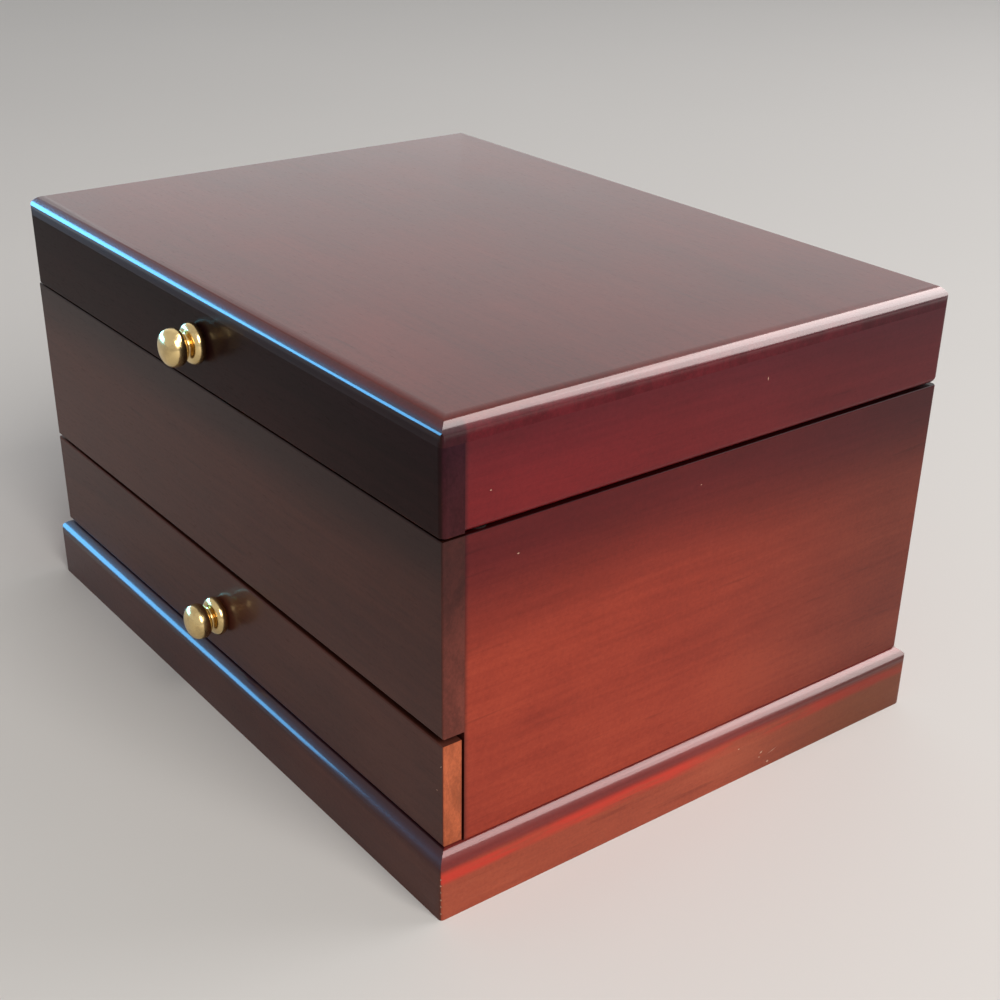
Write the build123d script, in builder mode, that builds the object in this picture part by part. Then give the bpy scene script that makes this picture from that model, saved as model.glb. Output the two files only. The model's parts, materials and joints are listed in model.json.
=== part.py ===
from build123d import *
import math
import os

# A wooden ring box: a lid on two stop hinges over a compartment of ring rolls, and a drawer below it
# that runs the full width of the front.  Millimetres.  The box stands on Z = 0 with its front towards
# -Y, and the origin is the middle of its footprint.

os.makedirs("parts", exist_ok=True)

# ---------------------------------------------------------------- outside sizes
box_width = 230.0  # case and lid, left to right
box_depth = 171.0  # case and lid, front to back
box_height = 135.0  # table to the top of the lid
lid_height = 28.5  # under edge of the lid to its top
lid_gap = 0.4  # daylight between the case and the closed lid
drawer_front_height = 30.7  # at its middle; the fixed front board above takes the rest

# ---------------------------------------------------------------- board thicknesses
front_board = 6.4  # front boards lie over the ends of the sides
side_board = 7.0
back_board = 7.0
lid_top_board = 6.0
deck_board = 4.0  # the drawer slides on this one
underside_board = 3.0
compartment_board = 3.0
compartment_rise = 1.0  # the floor sits this far above the upper front's lower edge
housing_depth = 2.0  # groove that holds the compartment floor

# ---------------------------------------------------------------- edges
lid_top_round = 4.5
lid_corner_ease = 1.6
lid_heel_round = 2.0  # lower back edge of the lid, over the hinges
board_ease = 0.5
case_corner_ease = 1.2

# ---------------------------------------------------------------- plinth moulding
plinth_height = 19.6
plinth_proud = 3.0  # how far it stands out from the case
plinth_stock = 10.0  # thickness of the moulding
plinth_round = 5.0
plinth_corner_ease = 3.0
plinth_sharp_ease = 1.0  # the front right corner is left sharper
deck_rebate = 3.0  # the deck lies this far over the moulding
mitre_gap = 0.08  # each mitred end stands back by this
felt_thickness = 0.8

# ---------------------------------------------------------------- drawer
drawer_gap_left = 1.0  # above the drawer front, which is cut a little out of square
drawer_gap_right = 2.0
drawer_gap_below = 0.9
drawer_reveal = 0.8  # between the drawer front and the ends of the case sides
drawer_side_clearance = 0.7
drawer_deck_clearance = 0.3
drawer_board = 6.0
drawer_head_clearance = 5.8  # above the drawer's sides
drawer_bottom_board = 3.0
drawer_bottom_rise = 3.0  # lower edge of the drawer sides to the bottom board
drawer_groove = 2.5
drawer_stop_depth = 4.0
drawer_stop_width = 24.0
drawer_stop_height = 7.0
drawer_stop_clearance = 0.1
drawer_lining = 1.0
drawer_lining_below_rim = 1.0
divider_board = 4.0
divider_below_rim = 4.0
groove_clearance = 0.1

# ---------------------------------------------------------------- upper compartment
lining = 1.6
floor_lining = 1.2
lining_below_rim = 1.5
roll_count = 8
roll_below_rim = 17.8  # room for the rings under the lid
roll_gap = 0.6
roll_end_clearance = 0.4
roll_end_ease = 1.5

# ---------------------------------------------------------------- lid inside
mirror_thickness = 2.0
mirror_border = 16.0  # padded frame between the mirror and the lid's walls
mirror_clearance = 0.15
lid_pad_thickness = 3.0
bumper_radius = 2.5
bumper_clearance = 0.05
bumper_setback = 12.0  # from the front face to the bumper's centre
bumper_sink = 0.8  # the felt discs are let into the top edges of the case sides

# ---------------------------------------------------------------- knobs
knob_radius = 5.4
knob_button = 7.2  # thickness of the rounded button
knob_rim_round = 3.2
knob_reach = 11.3  # from the wood to the front of the button
knob_collar_radius = 5.9
knob_collar = 3.0
knob_waist_radius = 2.9
lid_knob_drop = 1.15  # below the middle of the lid's height
drawer_knob_drop = 1.35  # below the middle of the drawer front
screw_radius = 1.5
screw_clearance = 0.1
screw_in_knob = 5.5
screw_head_radius = 3.0
screw_head = 1.6
screw_slot_width = 0.8
screw_slot_depth = 0.7

# ---------------------------------------------------------------- hinges
hinge_setback = 45.0  # outer face of the case side to the middle of each hinge
hinge_length = 28.0
leaf_thickness = 1.2
leaf_width = 5.5  # over the wood
leaf_clearance = 0.1
middle_knuckle = 10.0
knuckle_gap = 0.3
knuckle_radius = 1.7
barrel_clearance = 0.25  # between the barrel and the back of the case
pin_radius = 0.7
pin_overhang = 0.6
pin_press_clearance = 0.01
pin_running_clearance = 0.05
opening_angle = 95.0  # the two tails meet here
tail_spare_angle = 0.4
tail_reach = 4.6
tail_clearance = 0.3
hinge_screw_radius = 0.9
hinge_screw_head_radius = 1.7
hinge_screw_length = 8.0
hinge_screw_offset = 9.0
hinge_screw_inset = 2.9  # from the back face

# ---------------------------------------------------------------- places worked out from the sizes
right_x, left_x = box_width / 2, -box_width / 2
front_y, back_y = -box_depth / 2, box_depth / 2
inner_x = right_x - side_board
inner_front_y = front_y + front_board
bumper_x = inner_x + side_board / 2
inner_back_y = back_y - back_board
lid_base_z = box_height - lid_height
case_top_z = lid_base_z - lid_gap
lid_ceiling_z = box_height - lid_top_board
deck_base_z = plinth_height - deck_board
drawer_front_base_z = plinth_height + drawer_gap_below
drawer_front_top_z = drawer_front_base_z + drawer_front_height
upper_front_base_z = drawer_front_top_z + (drawer_gap_left + drawer_gap_right) / 2
compartment_base_z = upper_front_base_z + compartment_rise
compartment_top_z = compartment_base_z + compartment_board
lining_base_z = compartment_top_z + floor_lining
lining_top_z = case_top_z - lining_below_rim

drawer_front_board = front_board - drawer_reveal
drawer_front_back_y = front_y + drawer_front_board
drawer_base_z = plinth_height + drawer_deck_clearance
drawer_rim_z = compartment_base_z - drawer_head_clearance
drawer_outer_x = inner_x - drawer_side_clearance
drawer_inner_x = drawer_outer_x - drawer_board
drawer_stop_y = inner_back_y - drawer_stop_depth
drawer_back_y = drawer_stop_y - drawer_stop_clearance
drawer_back_inner_y = drawer_back_y - drawer_board
drawer_bottom_base_z = drawer_base_z + drawer_bottom_rise
drawer_bottom_top_z = drawer_bottom_base_z + drawer_bottom_board
drawer_lining_base_z = drawer_bottom_top_z + drawer_lining
drawer_lining_top_z = drawer_rim_z - drawer_lining_below_rim

hinge_offset = right_x - hinge_setback
hinge_y = back_y + knuckle_radius + barrel_clearance
hinge_z = (case_top_z + lid_base_z) / 2
lid_knob_z = (lid_base_z + box_height) / 2 - lid_knob_drop
drawer_knob_z = (drawer_front_base_z + drawer_front_top_z) / 2 - drawer_knob_drop


def keep(piece, name):
    """Label a finished piece and write it."""
    piece.part.label = name
    export_step(piece.part, f"parts/{name}.step")


def slab(x_span, y_span, z_span, mode=Mode.ADD):
    """A squared board between three pairs of coordinates."""
    with BuildSketch(Plane.XY.offset(z_span[0])) as outline:
        with Locations(((x_span[0] + x_span[1]) / 2, (y_span[0] + y_span[1]) / 2)):
            Rectangle(x_span[1] - x_span[0], y_span[1] - y_span[0])
    extrude(outline.sketch, amount=z_span[1] - z_span[0], mode=mode)


def span(side, inner, outer):
    """Coordinates from inner to outer on the right (+1) or the left (-1), lowest first."""
    return tuple(sorted((side * inner, side * outer)))


def outer_edges(piece, side, direction):
    """Edges along one direction of a side board's outer face, on the right (+1) or the left (-1)."""
    outer_face = piece.faces().filter_by(Plane.YZ).sort_by(Axis.X)[-1 if side > 0 else 0]
    return outer_face.edges().filter_by(direction)


sides = {"left": -1, "right": 1}

# ================================================================ plinth
# Four lengths of one moulding, mitred at the corners.  The section is drawn square to the run,
# outwards and up, so the same profile serves all four.
plinth_half_x = right_x + plinth_proud
plinth_half_y = back_y + plinth_proud


def plinth_length(outward, reach, half_run):
    """One mitred length of the moulding whose outer face is reach away along outward."""
    run = outward.cross(Vector(0, 0, 1))
    with BuildPart() as length:
        with BuildSketch(Plane(origin=(0, 0, 0), x_dir=outward, z_dir=run)):
            with BuildLine():
                Polyline(
                    (reach - plinth_round, plinth_height),
                    (reach - plinth_stock + deck_rebate, plinth_height),
                    (reach - plinth_stock + deck_rebate, deck_base_z),
                    (reach - plinth_stock, deck_base_z),
                    (reach - plinth_stock, 0),
                    (reach, 0),
                    (reach, plinth_height - plinth_round),
                )
                RadiusArc(
                    (reach, plinth_height - plinth_round),
                    (reach - plinth_round, plinth_height),
                    -plinth_round,
                )
            make_face()
        extrude(amount=half_run, both=True)
        for end in (-1, 1):
            corner = outward * reach + run * (end * (half_run - mitre_gap))
            split(bisect_by=Plane(origin=corner, z_dir=run * end - outward), keep=Keep.BOTTOM)
        with BuildSketch() as plan:
            Rectangle(2 * plinth_half_x, 2 * plinth_half_y)
            to_front_right = Axis((0, 0, 0), (1, -1, 0))
            fillet(plan.vertices().sort_by(to_front_right)[-1], plinth_sharp_ease)
            # That corner is two points now, and the other three come before them.
            fillet(plan.vertices().sort_by(to_front_right)[:-2], plinth_corner_ease)
        extrude(amount=plinth_height, mode=Mode.INTERSECT)
    return length


plinth_runs = {
    "front": (Vector(0, -1, 0), plinth_half_y, plinth_half_x),
    "back": (Vector(0, 1, 0), plinth_half_y, plinth_half_x),
    "left": (Vector(-1, 0, 0), plinth_half_x, plinth_half_y),
    "right": (Vector(1, 0, 0), plinth_half_x, plinth_half_y),
}
for place, (outward, reach, half_run) in plinth_runs.items():
    keep(plinth_length(outward, reach, half_run), f"plinth_{place}")

# ================================================================ bottom of the case
frame_inner_x = plinth_half_x - plinth_stock
frame_inner_y = plinth_half_y - plinth_stock

with BuildPart() as deck:
    deck_x = frame_inner_x + deck_rebate - groove_clearance
    deck_y = frame_inner_y + deck_rebate - groove_clearance
    slab((-deck_x, deck_x), (-deck_y, deck_y), (deck_base_z, plinth_height))
keep(deck, "drawer_deck")

with BuildPart() as underside:
    slab(
        (-frame_inner_x, frame_inner_x),
        (-frame_inner_y, frame_inner_y),
        (felt_thickness, felt_thickness + underside_board),
    )
keep(underside, "underside_board")

with BuildPart() as felt:
    slab((-frame_inner_x, frame_inner_x), (-frame_inner_y, frame_inner_y), (0, felt_thickness))
keep(felt, "base_felt")

# ================================================================ case walls
for place, side in sides.items():
    with BuildPart() as case_side:
        slab(span(side, inner_x, right_x), (inner_front_y, back_y), (plinth_height, case_top_z))
        slab(
            span(side, inner_x, inner_x + housing_depth),
            (inner_front_y, inner_back_y + housing_depth),
            (compartment_base_z, compartment_top_z),
            mode=Mode.SUBTRACT,
        )
        fillet(outer_edges(case_side, side, Axis.Z).sort_by(Axis.Y)[-1], case_corner_ease)
        fillet(outer_edges(case_side, side, Axis.Y), board_ease)
        with BuildSketch(Plane.XY.offset(case_top_z)) as bumper_seat:
            with Locations((side * bumper_x, front_y + bumper_setback)):
                Circle(bumper_radius + bumper_clearance)
        extrude(bumper_seat.sketch, amount=-bumper_sink, mode=Mode.SUBTRACT)
    keep(case_side, f"case_side_{place}")


def hinge_recesses(z_span):
    """Shallow recesses for the two hinge leaves, between two heights, at the back face."""
    for side in sides.values():
        middle = side * hinge_offset
        half_recess = hinge_length / 2 + leaf_clearance
        slab(
            (middle - half_recess, middle + half_recess),
            (back_y - leaf_width - leaf_clearance, back_y),
            z_span,
            mode=Mode.SUBTRACT,
        )


def hinge_screw_spots():
    """Plan positions of the screws in the two hinges."""
    return [
        (side * hinge_offset + end * hinge_screw_offset, back_y - hinge_screw_inset)
        for side in sides.values()
        for end in (-1, 1)
    ]


def hinge_screw_bores(surface, direction):
    """Pilot holes for the hinge screws, up (+1) or down (-1) from the surface of the wood."""
    with BuildSketch(Plane.XY.offset(surface)) as bores:
        with Locations(*hinge_screw_spots()):
            Circle(hinge_screw_radius + screw_clearance)
    depth = hinge_screw_length + screw_clearance
    extrude(bores.sketch, amount=direction * depth, mode=Mode.SUBTRACT)


with BuildPart() as case_back:
    slab((-inner_x, inner_x), (inner_back_y, back_y), (plinth_height, case_top_z))
    slab(
        (-inner_x, inner_x),
        (inner_back_y, inner_back_y + housing_depth),
        (compartment_base_z, compartment_top_z),
        mode=Mode.SUBTRACT,
    )
    hinge_recesses((case_top_z - leaf_thickness, case_top_z))
    hinge_screw_bores(case_top_z, -1)
keep(case_back, "case_back")

with BuildPart() as upper_front:
    slab((left_x, right_x), (front_y, inner_front_y), (upper_front_base_z, case_top_z))
    front_face = upper_front.faces().sort_by(Axis.Y)[0]
    fillet(front_face.edges(), board_ease)
    slab(
        (-inner_x - housing_depth, inner_x + housing_depth),
        (inner_front_y - housing_depth, inner_front_y),
        (compartment_base_z, compartment_top_z),
        mode=Mode.SUBTRACT,
    )
keep(upper_front, "upper_front")

with BuildPart() as compartment_floor:
    floor_x = inner_x + housing_depth - groove_clearance
    slab(
        (-floor_x, floor_x),
        (
            inner_front_y - housing_depth + groove_clearance,
            inner_back_y + housing_depth - groove_clearance,
        ),
        (compartment_base_z, compartment_top_z),
    )
keep(compartment_floor, "compartment_floor")

with BuildPart() as stop_blocks:
    for side in sides.values():
        middle = side * (inner_x - drawer_stop_width)
        slab(
            (middle - drawer_stop_width / 2, middle + drawer_stop_width / 2),
            (drawer_stop_y, inner_back_y),
            (plinth_height, plinth_height + drawer_stop_height),
        )
keep(stop_blocks, "drawer_stop_blocks")

# ================================================================ lining of the upper compartment
with BuildPart() as lining_floor:
    slab((-inner_x, inner_x), (inner_front_y, inner_back_y), (compartment_top_z, lining_base_z))
keep(lining_floor, "lining_floor")

lining_spans = {
    "front": ((-inner_x, inner_x), (inner_front_y, inner_front_y + lining)),
    "back": ((-inner_x, inner_x), (inner_back_y - lining, inner_back_y)),
    "left": ((-inner_x, -inner_x + lining), (inner_front_y + lining, inner_back_y - lining)),
    "right": ((inner_x - lining, inner_x), (inner_front_y + lining, inner_back_y - lining)),
}
for place, (x_span, y_span) in lining_spans.items():
    with BuildPart() as lining_wall:
        slab(x_span, y_span, (lining_base_z, lining_top_z))
    keep(lining_wall, f"lining_{place}")

# Ring rolls lie side by side from the front to the back, and a ring is pushed into the slit
# between two of them.  Each is a bar with a half-round top.
rolls_front_y = inner_front_y + lining
rolls_depth = inner_back_y - lining - rolls_front_y
roll_pitch = (rolls_depth - roll_gap) / roll_count
roll_width = roll_pitch - roll_gap
roll_length = 2 * (inner_x - lining - roll_end_clearance)
roll_height = case_top_z - roll_below_rim - lining_base_z
for number in range(roll_count):
    roll_y = rolls_front_y + roll_gap + roll_width / 2 + number * roll_pitch
    with BuildPart() as ring_roll:
        with BuildSketch(Plane.YZ):
            with Locations((roll_y, lining_base_z + (roll_height - roll_width / 2) / 2)):
                Rectangle(roll_width, roll_height - roll_width / 2)
            with Locations((roll_y, lining_base_z + roll_height - roll_width / 2)):
                Circle(roll_width / 2)
        extrude(amount=roll_length / 2, both=True)
        crown = ring_roll.edges().filter_by(GeomType.CIRCLE)
        chamfer(crown, roll_end_ease)
    keep(ring_roll, f"ring_roll_{number + 1}")

with BuildPart() as bumpers:
    with BuildSketch(Plane.XY.offset(case_top_z - bumper_sink)):
        with GridLocations(2 * bumper_x, 0, 2, 1):
            with Locations((0, front_y + bumper_setback)):
                Circle(bumper_radius)
    extrude(amount=bumper_sink + lid_gap - bumper_clearance)
keep(bumpers, "lid_bumpers")

# ================================================================ lid
with BuildPart() as lid_top:
    slab((left_x, right_x), (front_y, back_y), (lid_ceiling_z, box_height))
    fillet(lid_top.edges().filter_by(Axis.Z), lid_corner_ease)
    fillet(lid_top.faces().sort_by(Axis.Z)[-1].edges(), lid_top_round)
keep(lid_top, "lid_top")


def knob_screw_bore(bore_z, inner_y, outer_y):
    """Clearance hole for a knob screw through a front board, with its head sunk in the inner face."""
    with BuildSketch(Plane.XZ.offset(-inner_y)) as shank:
        with Locations((0, bore_z)):
            Circle(screw_radius + screw_clearance)
    extrude(shank.sketch, amount=inner_y - outer_y, mode=Mode.SUBTRACT)
    with BuildSketch(Plane.XZ.offset(-inner_y)) as seat:
        with Locations((0, bore_z)):
            Circle(screw_head_radius + screw_clearance)
    extrude(seat.sketch, amount=screw_head, mode=Mode.SUBTRACT)


with BuildPart() as lid_front:
    slab((left_x, right_x), (front_y, inner_front_y), (lid_base_z, lid_ceiling_z))
    fillet(lid_front.edges().filter_by(Axis.Z).group_by(Axis.Y)[0], lid_corner_ease)
    front_face = lid_front.faces().sort_by(Axis.Y)[0]
    fillet(front_face.edges().filter_by(Axis.X).sort_by(Axis.Z)[0], board_ease)
    knob_screw_bore(lid_knob_z, inner_front_y, front_y)
keep(lid_front, "lid_front")

for place, side in sides.items():
    with BuildPart() as lid_side:
        slab(span(side, inner_x, right_x), (inner_front_y, back_y), (lid_base_z, lid_ceiling_z))
        fillet(
            outer_edges(lid_side, side, Axis.Z).sort_by(Axis.Y)[-1],
            lid_corner_ease,
        )
        heel = lid_side.edges().filter_by(Axis.X).group_by(Axis.Z)[0].sort_by(Axis.Y)[-1]
        fillet(heel, lid_heel_round)
    keep(lid_side, f"lid_side_{place}")

with BuildPart() as lid_back:
    slab((-inner_x, inner_x), (inner_back_y, back_y), (lid_base_z, lid_ceiling_z))
    heel = lid_back.edges().filter_by(Axis.X).group_by(Axis.Z)[0].sort_by(Axis.Y)[-1]
    fillet(heel, lid_heel_round)
    hinge_recesses((lid_base_z, lid_base_z + leaf_thickness))
    hinge_screw_bores(lid_base_z, 1)
keep(lid_back, "lid_back")

# The padded frame and the mirror lie side by side on the inside of the lid's top board.
mirror_x = inner_x - mirror_border
mirror_front_y = inner_front_y + mirror_border
mirror_back_y = inner_back_y - mirror_border

with BuildPart() as lid_pad:
    slab(
        (-inner_x, inner_x),
        (inner_front_y, inner_back_y),
        (lid_ceiling_z - lid_pad_thickness, lid_ceiling_z),
    )
    slab(
        (-mirror_x, mirror_x),
        (mirror_front_y, mirror_back_y),
        (lid_ceiling_z - lid_pad_thickness, lid_ceiling_z),
        mode=Mode.SUBTRACT,
    )
keep(lid_pad, "lid_padded_frame")

with BuildPart() as mirror_glass:
    slab(
        (-mirror_x + mirror_clearance, mirror_x - mirror_clearance),
        (mirror_front_y + mirror_clearance, mirror_back_y - mirror_clearance),
        (lid_ceiling_z - mirror_thickness, lid_ceiling_z),
    )
keep(mirror_glass, "lid_mirror")

# ================================================================ hinges
barrel_plane = Plane(origin=(0, hinge_y, hinge_z), x_dir=(0, 1, 0), z_dir=(1, 0, 0))
outer_knuckle = (hinge_length - middle_knuckle) / 2 - knuckle_gap
case_knuckle_spans = [
    (-hinge_length / 2, -hinge_length / 2 + outer_knuckle),
    (hinge_length / 2 - outer_knuckle, hinge_length / 2),
]
lid_knuckle_spans = [(-middle_knuckle / 2, middle_knuckle / 2)]
half_tail_angle = opening_angle / 2 + tail_spare_angle


def barrel(x_span, radius, mode=Mode.ADD):
    """A cylinder on the hinge's axis between two X coordinates."""
    with BuildSketch(barrel_plane.offset(x_span[0])) as ring:
        Circle(radius)
    extrude(ring.sketch, amount=x_span[1] - x_span[0], mode=mode)


def tail(x_span, start, rise):
    """Stop tail behind the barrel, sloping up (+1) or down (-1), from start to the tail's reach."""
    along = Vector(0, 1, 0).rotate(Axis.X, rise * half_tail_angle)
    away = along.rotate(Axis.X, rise * 90)
    root = Plane(origin=(0, hinge_y, hinge_z), x_dir=along, z_dir=away)
    with BuildSketch(root) as outline:
        middle = (x_span[0] + x_span[1]) / 2
        with Locations(((start + tail_reach) / 2, -rise * middle)):
            Rectangle(tail_reach - start, x_span[1] - x_span[0])
    extrude(outline.sketch, amount=leaf_thickness)


def hinge_leaf(middle, plate_z, rise, knuckle_spans, tail_span, bore_clearance):
    """One leaf of a stop hinge: its plate, knuckles and tail, with the pin's bore and screw holes."""
    with BuildPart() as leaf:
        slab(
            (middle - hinge_length / 2, middle + hinge_length / 2),
            (back_y - leaf_width, back_y),
            (plate_z, plate_z + leaf_thickness),
        )
        tail((middle + tail_span[0], middle + tail_span[1]), knuckle_radius + tail_clearance, rise)
        for start, end in knuckle_spans:
            knuckle = (middle + start, middle + end)
            slab(knuckle, (back_y, hinge_y), (plate_z, plate_z + leaf_thickness))
            barrel(knuckle, knuckle_radius)
            tail(knuckle, 0, rise)
            barrel(knuckle, pin_radius + bore_clearance, mode=Mode.SUBTRACT)
        surface = plate_z if rise > 0 else plate_z + leaf_thickness
        flare = hinge_screw_head_radius - hinge_screw_radius
        with BuildSketch(Plane.XY.offset(surface)) as mouths:
            with Locations(*[spot for spot in hinge_screw_spots() if spot[0] * middle > 0]):
                Circle(hinge_screw_head_radius + screw_clearance)
        extrude(mouths.sketch, amount=rise * flare, taper=45, mode=Mode.SUBTRACT)
        with BuildSketch(Plane.XY.offset(surface)) as shanks:
            with Locations(*[spot for spot in hinge_screw_spots() if spot[0] * middle > 0]):
                Circle(hinge_screw_radius + screw_clearance)
        extrude(shanks.sketch, amount=rise * leaf_thickness, mode=Mode.SUBTRACT)
    return leaf


whole_hinge = (-hinge_length / 2, hinge_length / 2)
for place, side in sides.items():
    middle = side * hinge_offset
    case_leaf = hinge_leaf(
        middle, case_top_z - leaf_thickness, -1, case_knuckle_spans, whole_hinge, pin_press_clearance
    )
    keep(case_leaf, f"hinge_case_leaf_{place}")
    lid_leaf = hinge_leaf(
        middle, lid_base_z, 1, lid_knuckle_spans, lid_knuckle_spans[0], pin_running_clearance
    )
    keep(lid_leaf, f"hinge_lid_leaf_{place}")
    with BuildPart() as hinge_pin:
        half_pin = hinge_length / 2 + pin_overhang
        barrel((middle - half_pin, middle + half_pin), pin_radius)
        fillet(hinge_pin.edges().filter_by(GeomType.CIRCLE), pin_radius / 2)
    keep(hinge_pin, f"hinge_pin_{place}")


def hinge_screws(surface, direction):
    """The four countersunk screws of one pair of leaves, going up (+1) or down (-1)."""
    flare = hinge_screw_head_radius - hinge_screw_radius
    with BuildPart() as screws:
        with BuildSketch(Plane.XY.offset(surface)):
            with Locations(*hinge_screw_spots()):
                Circle(hinge_screw_head_radius)
        extrude(amount=direction * flare, taper=45)
        with BuildSketch(Plane.XY.offset(surface)):
            with Locations(*hinge_screw_spots()):
                Circle(hinge_screw_radius)
        extrude(amount=direction * hinge_screw_length)
        with BuildSketch(Plane.XY.offset(surface)):
            with Locations(*hinge_screw_spots()):
                Rectangle(2 * hinge_screw_head_radius, screw_slot_width / 2)
        extrude(amount=direction * screw_slot_depth / 2, mode=Mode.SUBTRACT)
    return screws


keep(hinge_screws(case_top_z, -1), "hinge_screws_case")
keep(hinge_screws(lid_base_z, 1), "hinge_screws_lid")


# ================================================================ knobs
def knob(knob_z):
    """Turned brass knob on the front face: a flattened button, a waist and a beaded collar."""
    button_middle = knob_reach - knob_button / 2
    bead_x = knob_collar_radius - knob_collar / 2
    # The button's rim is a small arc, and its crown a wide one centred on the axis and tangent to it.
    rim_x = knob_radius - knob_rim_round
    crown_spare = knob_button / 2 - knob_rim_round
    crown_drop = (rim_x**2 - crown_spare**2) / (2 * crown_spare)
    crown_radius = knob_button / 2 + crown_drop
    tangent_angle = math.degrees(math.atan2(crown_drop, rim_x))
    waist_angle = math.degrees(math.acos((knob_waist_radius - rim_x) / knob_rim_round))
    neck_top = button_middle - knob_rim_round * math.sin(math.radians(waist_angle))
    with BuildPart() as turned:
        # The section is drawn with X across the knob and Y out of the front.
        with BuildSketch(Plane(origin=(0, front_y, knob_z), x_dir=(0, 0, 1), z_dir=(1, 0, 0))):
            with BuildLine():
                Polyline((0, knob_reach), (0, 0), (bead_x, 0))
                CenterArc((bead_x, knob_collar / 2), knob_collar / 2, -90, 180)
                Polyline(
                    (bead_x, knob_collar), (knob_waist_radius, knob_collar), (knob_waist_radius, neck_top)
                )
                CenterArc(
                    (rim_x, button_middle), knob_rim_round, -waist_angle, waist_angle + tangent_angle
                )
                CenterArc(
                    (0, button_middle - crown_drop), crown_radius, tangent_angle, 90 - tangent_angle
                )
            make_face()
        revolve(axis=Axis((0, front_y, knob_z), (0, -1, 0)))
        with BuildSketch(Plane.XZ.offset(-front_y)):
            with Locations((0, knob_z)):
                Circle(screw_radius + screw_clearance)
        extrude(amount=screw_in_knob + screw_clearance, mode=Mode.SUBTRACT)
    return turned


def knob_screw(knob_z, inner_y):
    """Machine screw with its head sunk in the board's inner face, reaching into the knob."""
    head_plane = Plane.XZ.offset(-inner_y)
    with BuildPart() as screw:
        with BuildSketch(head_plane):
            with Locations((0, knob_z)):
                Circle(screw_head_radius)
        extrude(amount=screw_head)
        with BuildSketch(head_plane):
            with Locations((0, knob_z)):
                Circle(screw_radius)
        extrude(amount=inner_y - front_y + screw_in_knob)
        with BuildSketch(head_plane):
            with Locations((0, knob_z)):
                Rectangle(2 * screw_head_radius, screw_slot_width)
        extrude(amount=screw_slot_depth, mode=Mode.SUBTRACT)
    return screw


keep(knob(lid_knob_z), "lid_knob")
keep(knob(drawer_knob_z), "drawer_knob")
keep(knob_screw(lid_knob_z, inner_front_y), "lid_knob_screw")
keep(knob_screw(drawer_knob_z, drawer_front_back_y), "drawer_knob_screw")

# ================================================================ drawer
with BuildPart() as drawer_front:
    with BuildSketch(Plane.XZ.offset(-drawer_front_back_y)):
        with BuildLine():
            Polyline(
                (left_x, drawer_front_base_z),
                (right_x, drawer_front_base_z),
                (right_x, upper_front_base_z - drawer_gap_right),
                (left_x, upper_front_base_z - drawer_gap_left),
                close=True,
            )
        make_face()
    extrude(amount=drawer_front_board)
    fillet(drawer_front.faces().sort_by(Axis.Y)[0].edges(), board_ease)
    slab(
        (-drawer_inner_x, drawer_inner_x),
        (drawer_front_back_y - drawer_groove, drawer_front_back_y),
        (drawer_bottom_base_z, drawer_bottom_top_z),
        mode=Mode.SUBTRACT,
    )
    knob_screw_bore(drawer_knob_z, drawer_front_back_y, front_y)
keep(drawer_front, "drawer_front")

for place, side in sides.items():
    with BuildPart() as drawer_side:
        slab(
            span(side, drawer_inner_x, drawer_outer_x),
            (drawer_front_back_y, drawer_back_y),
            (drawer_base_z, drawer_rim_z),
        )
        slab(
            span(side, drawer_inner_x, drawer_inner_x + drawer_groove),
            (drawer_front_back_y, drawer_back_inner_y + drawer_groove),
            (drawer_bottom_base_z, drawer_bottom_top_z),
            mode=Mode.SUBTRACT,
        )
        fillet(drawer_side.faces().sort_by(Axis.Z)[-1].edges().filter_by(Axis.Y), board_ease)
    keep(drawer_side, f"drawer_side_{place}")

with BuildPart() as drawer_back:
    slab(
        (-drawer_inner_x, drawer_inner_x),
        (drawer_back_inner_y, drawer_back_y),
        (drawer_base_z, drawer_rim_z),
    )
    slab(
        (-drawer_inner_x, drawer_inner_x),
        (drawer_back_inner_y, drawer_back_inner_y + drawer_groove),
        (drawer_bottom_base_z, drawer_bottom_top_z),
        mode=Mode.SUBTRACT,
    )
    fillet(drawer_back.faces().sort_by(Axis.Z)[-1].edges().filter_by(Axis.X), board_ease)
keep(drawer_back, "drawer_back")

with BuildPart() as drawer_bottom:
    bottom_reach = drawer_groove - groove_clearance
    # The groove in the front stops at the drawer's inner width, so the bottom's front edge does too.
    slab(
        (-drawer_inner_x + groove_clearance, drawer_inner_x - groove_clearance),
        (drawer_front_back_y - bottom_reach, drawer_front_back_y),
        (drawer_bottom_base_z, drawer_bottom_top_z),
    )
    slab(
        (-drawer_inner_x - bottom_reach, drawer_inner_x + bottom_reach),
        (drawer_front_back_y, drawer_back_inner_y),
        (drawer_bottom_base_z, drawer_bottom_top_z),
    )
    slab(
        (-drawer_inner_x + groove_clearance, drawer_inner_x - groove_clearance),
        (drawer_back_inner_y, drawer_back_inner_y + bottom_reach),
        (drawer_bottom_base_z, drawer_bottom_top_z),
    )
keep(drawer_bottom, "drawer_bottom")

with BuildPart() as drawer_lining_floor:
    slab(
        (-drawer_inner_x, drawer_inner_x),
        (drawer_front_back_y, drawer_back_inner_y),
        (drawer_bottom_top_z, drawer_lining_base_z),
    )
keep(drawer_lining_floor, "drawer_lining_floor")

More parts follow.
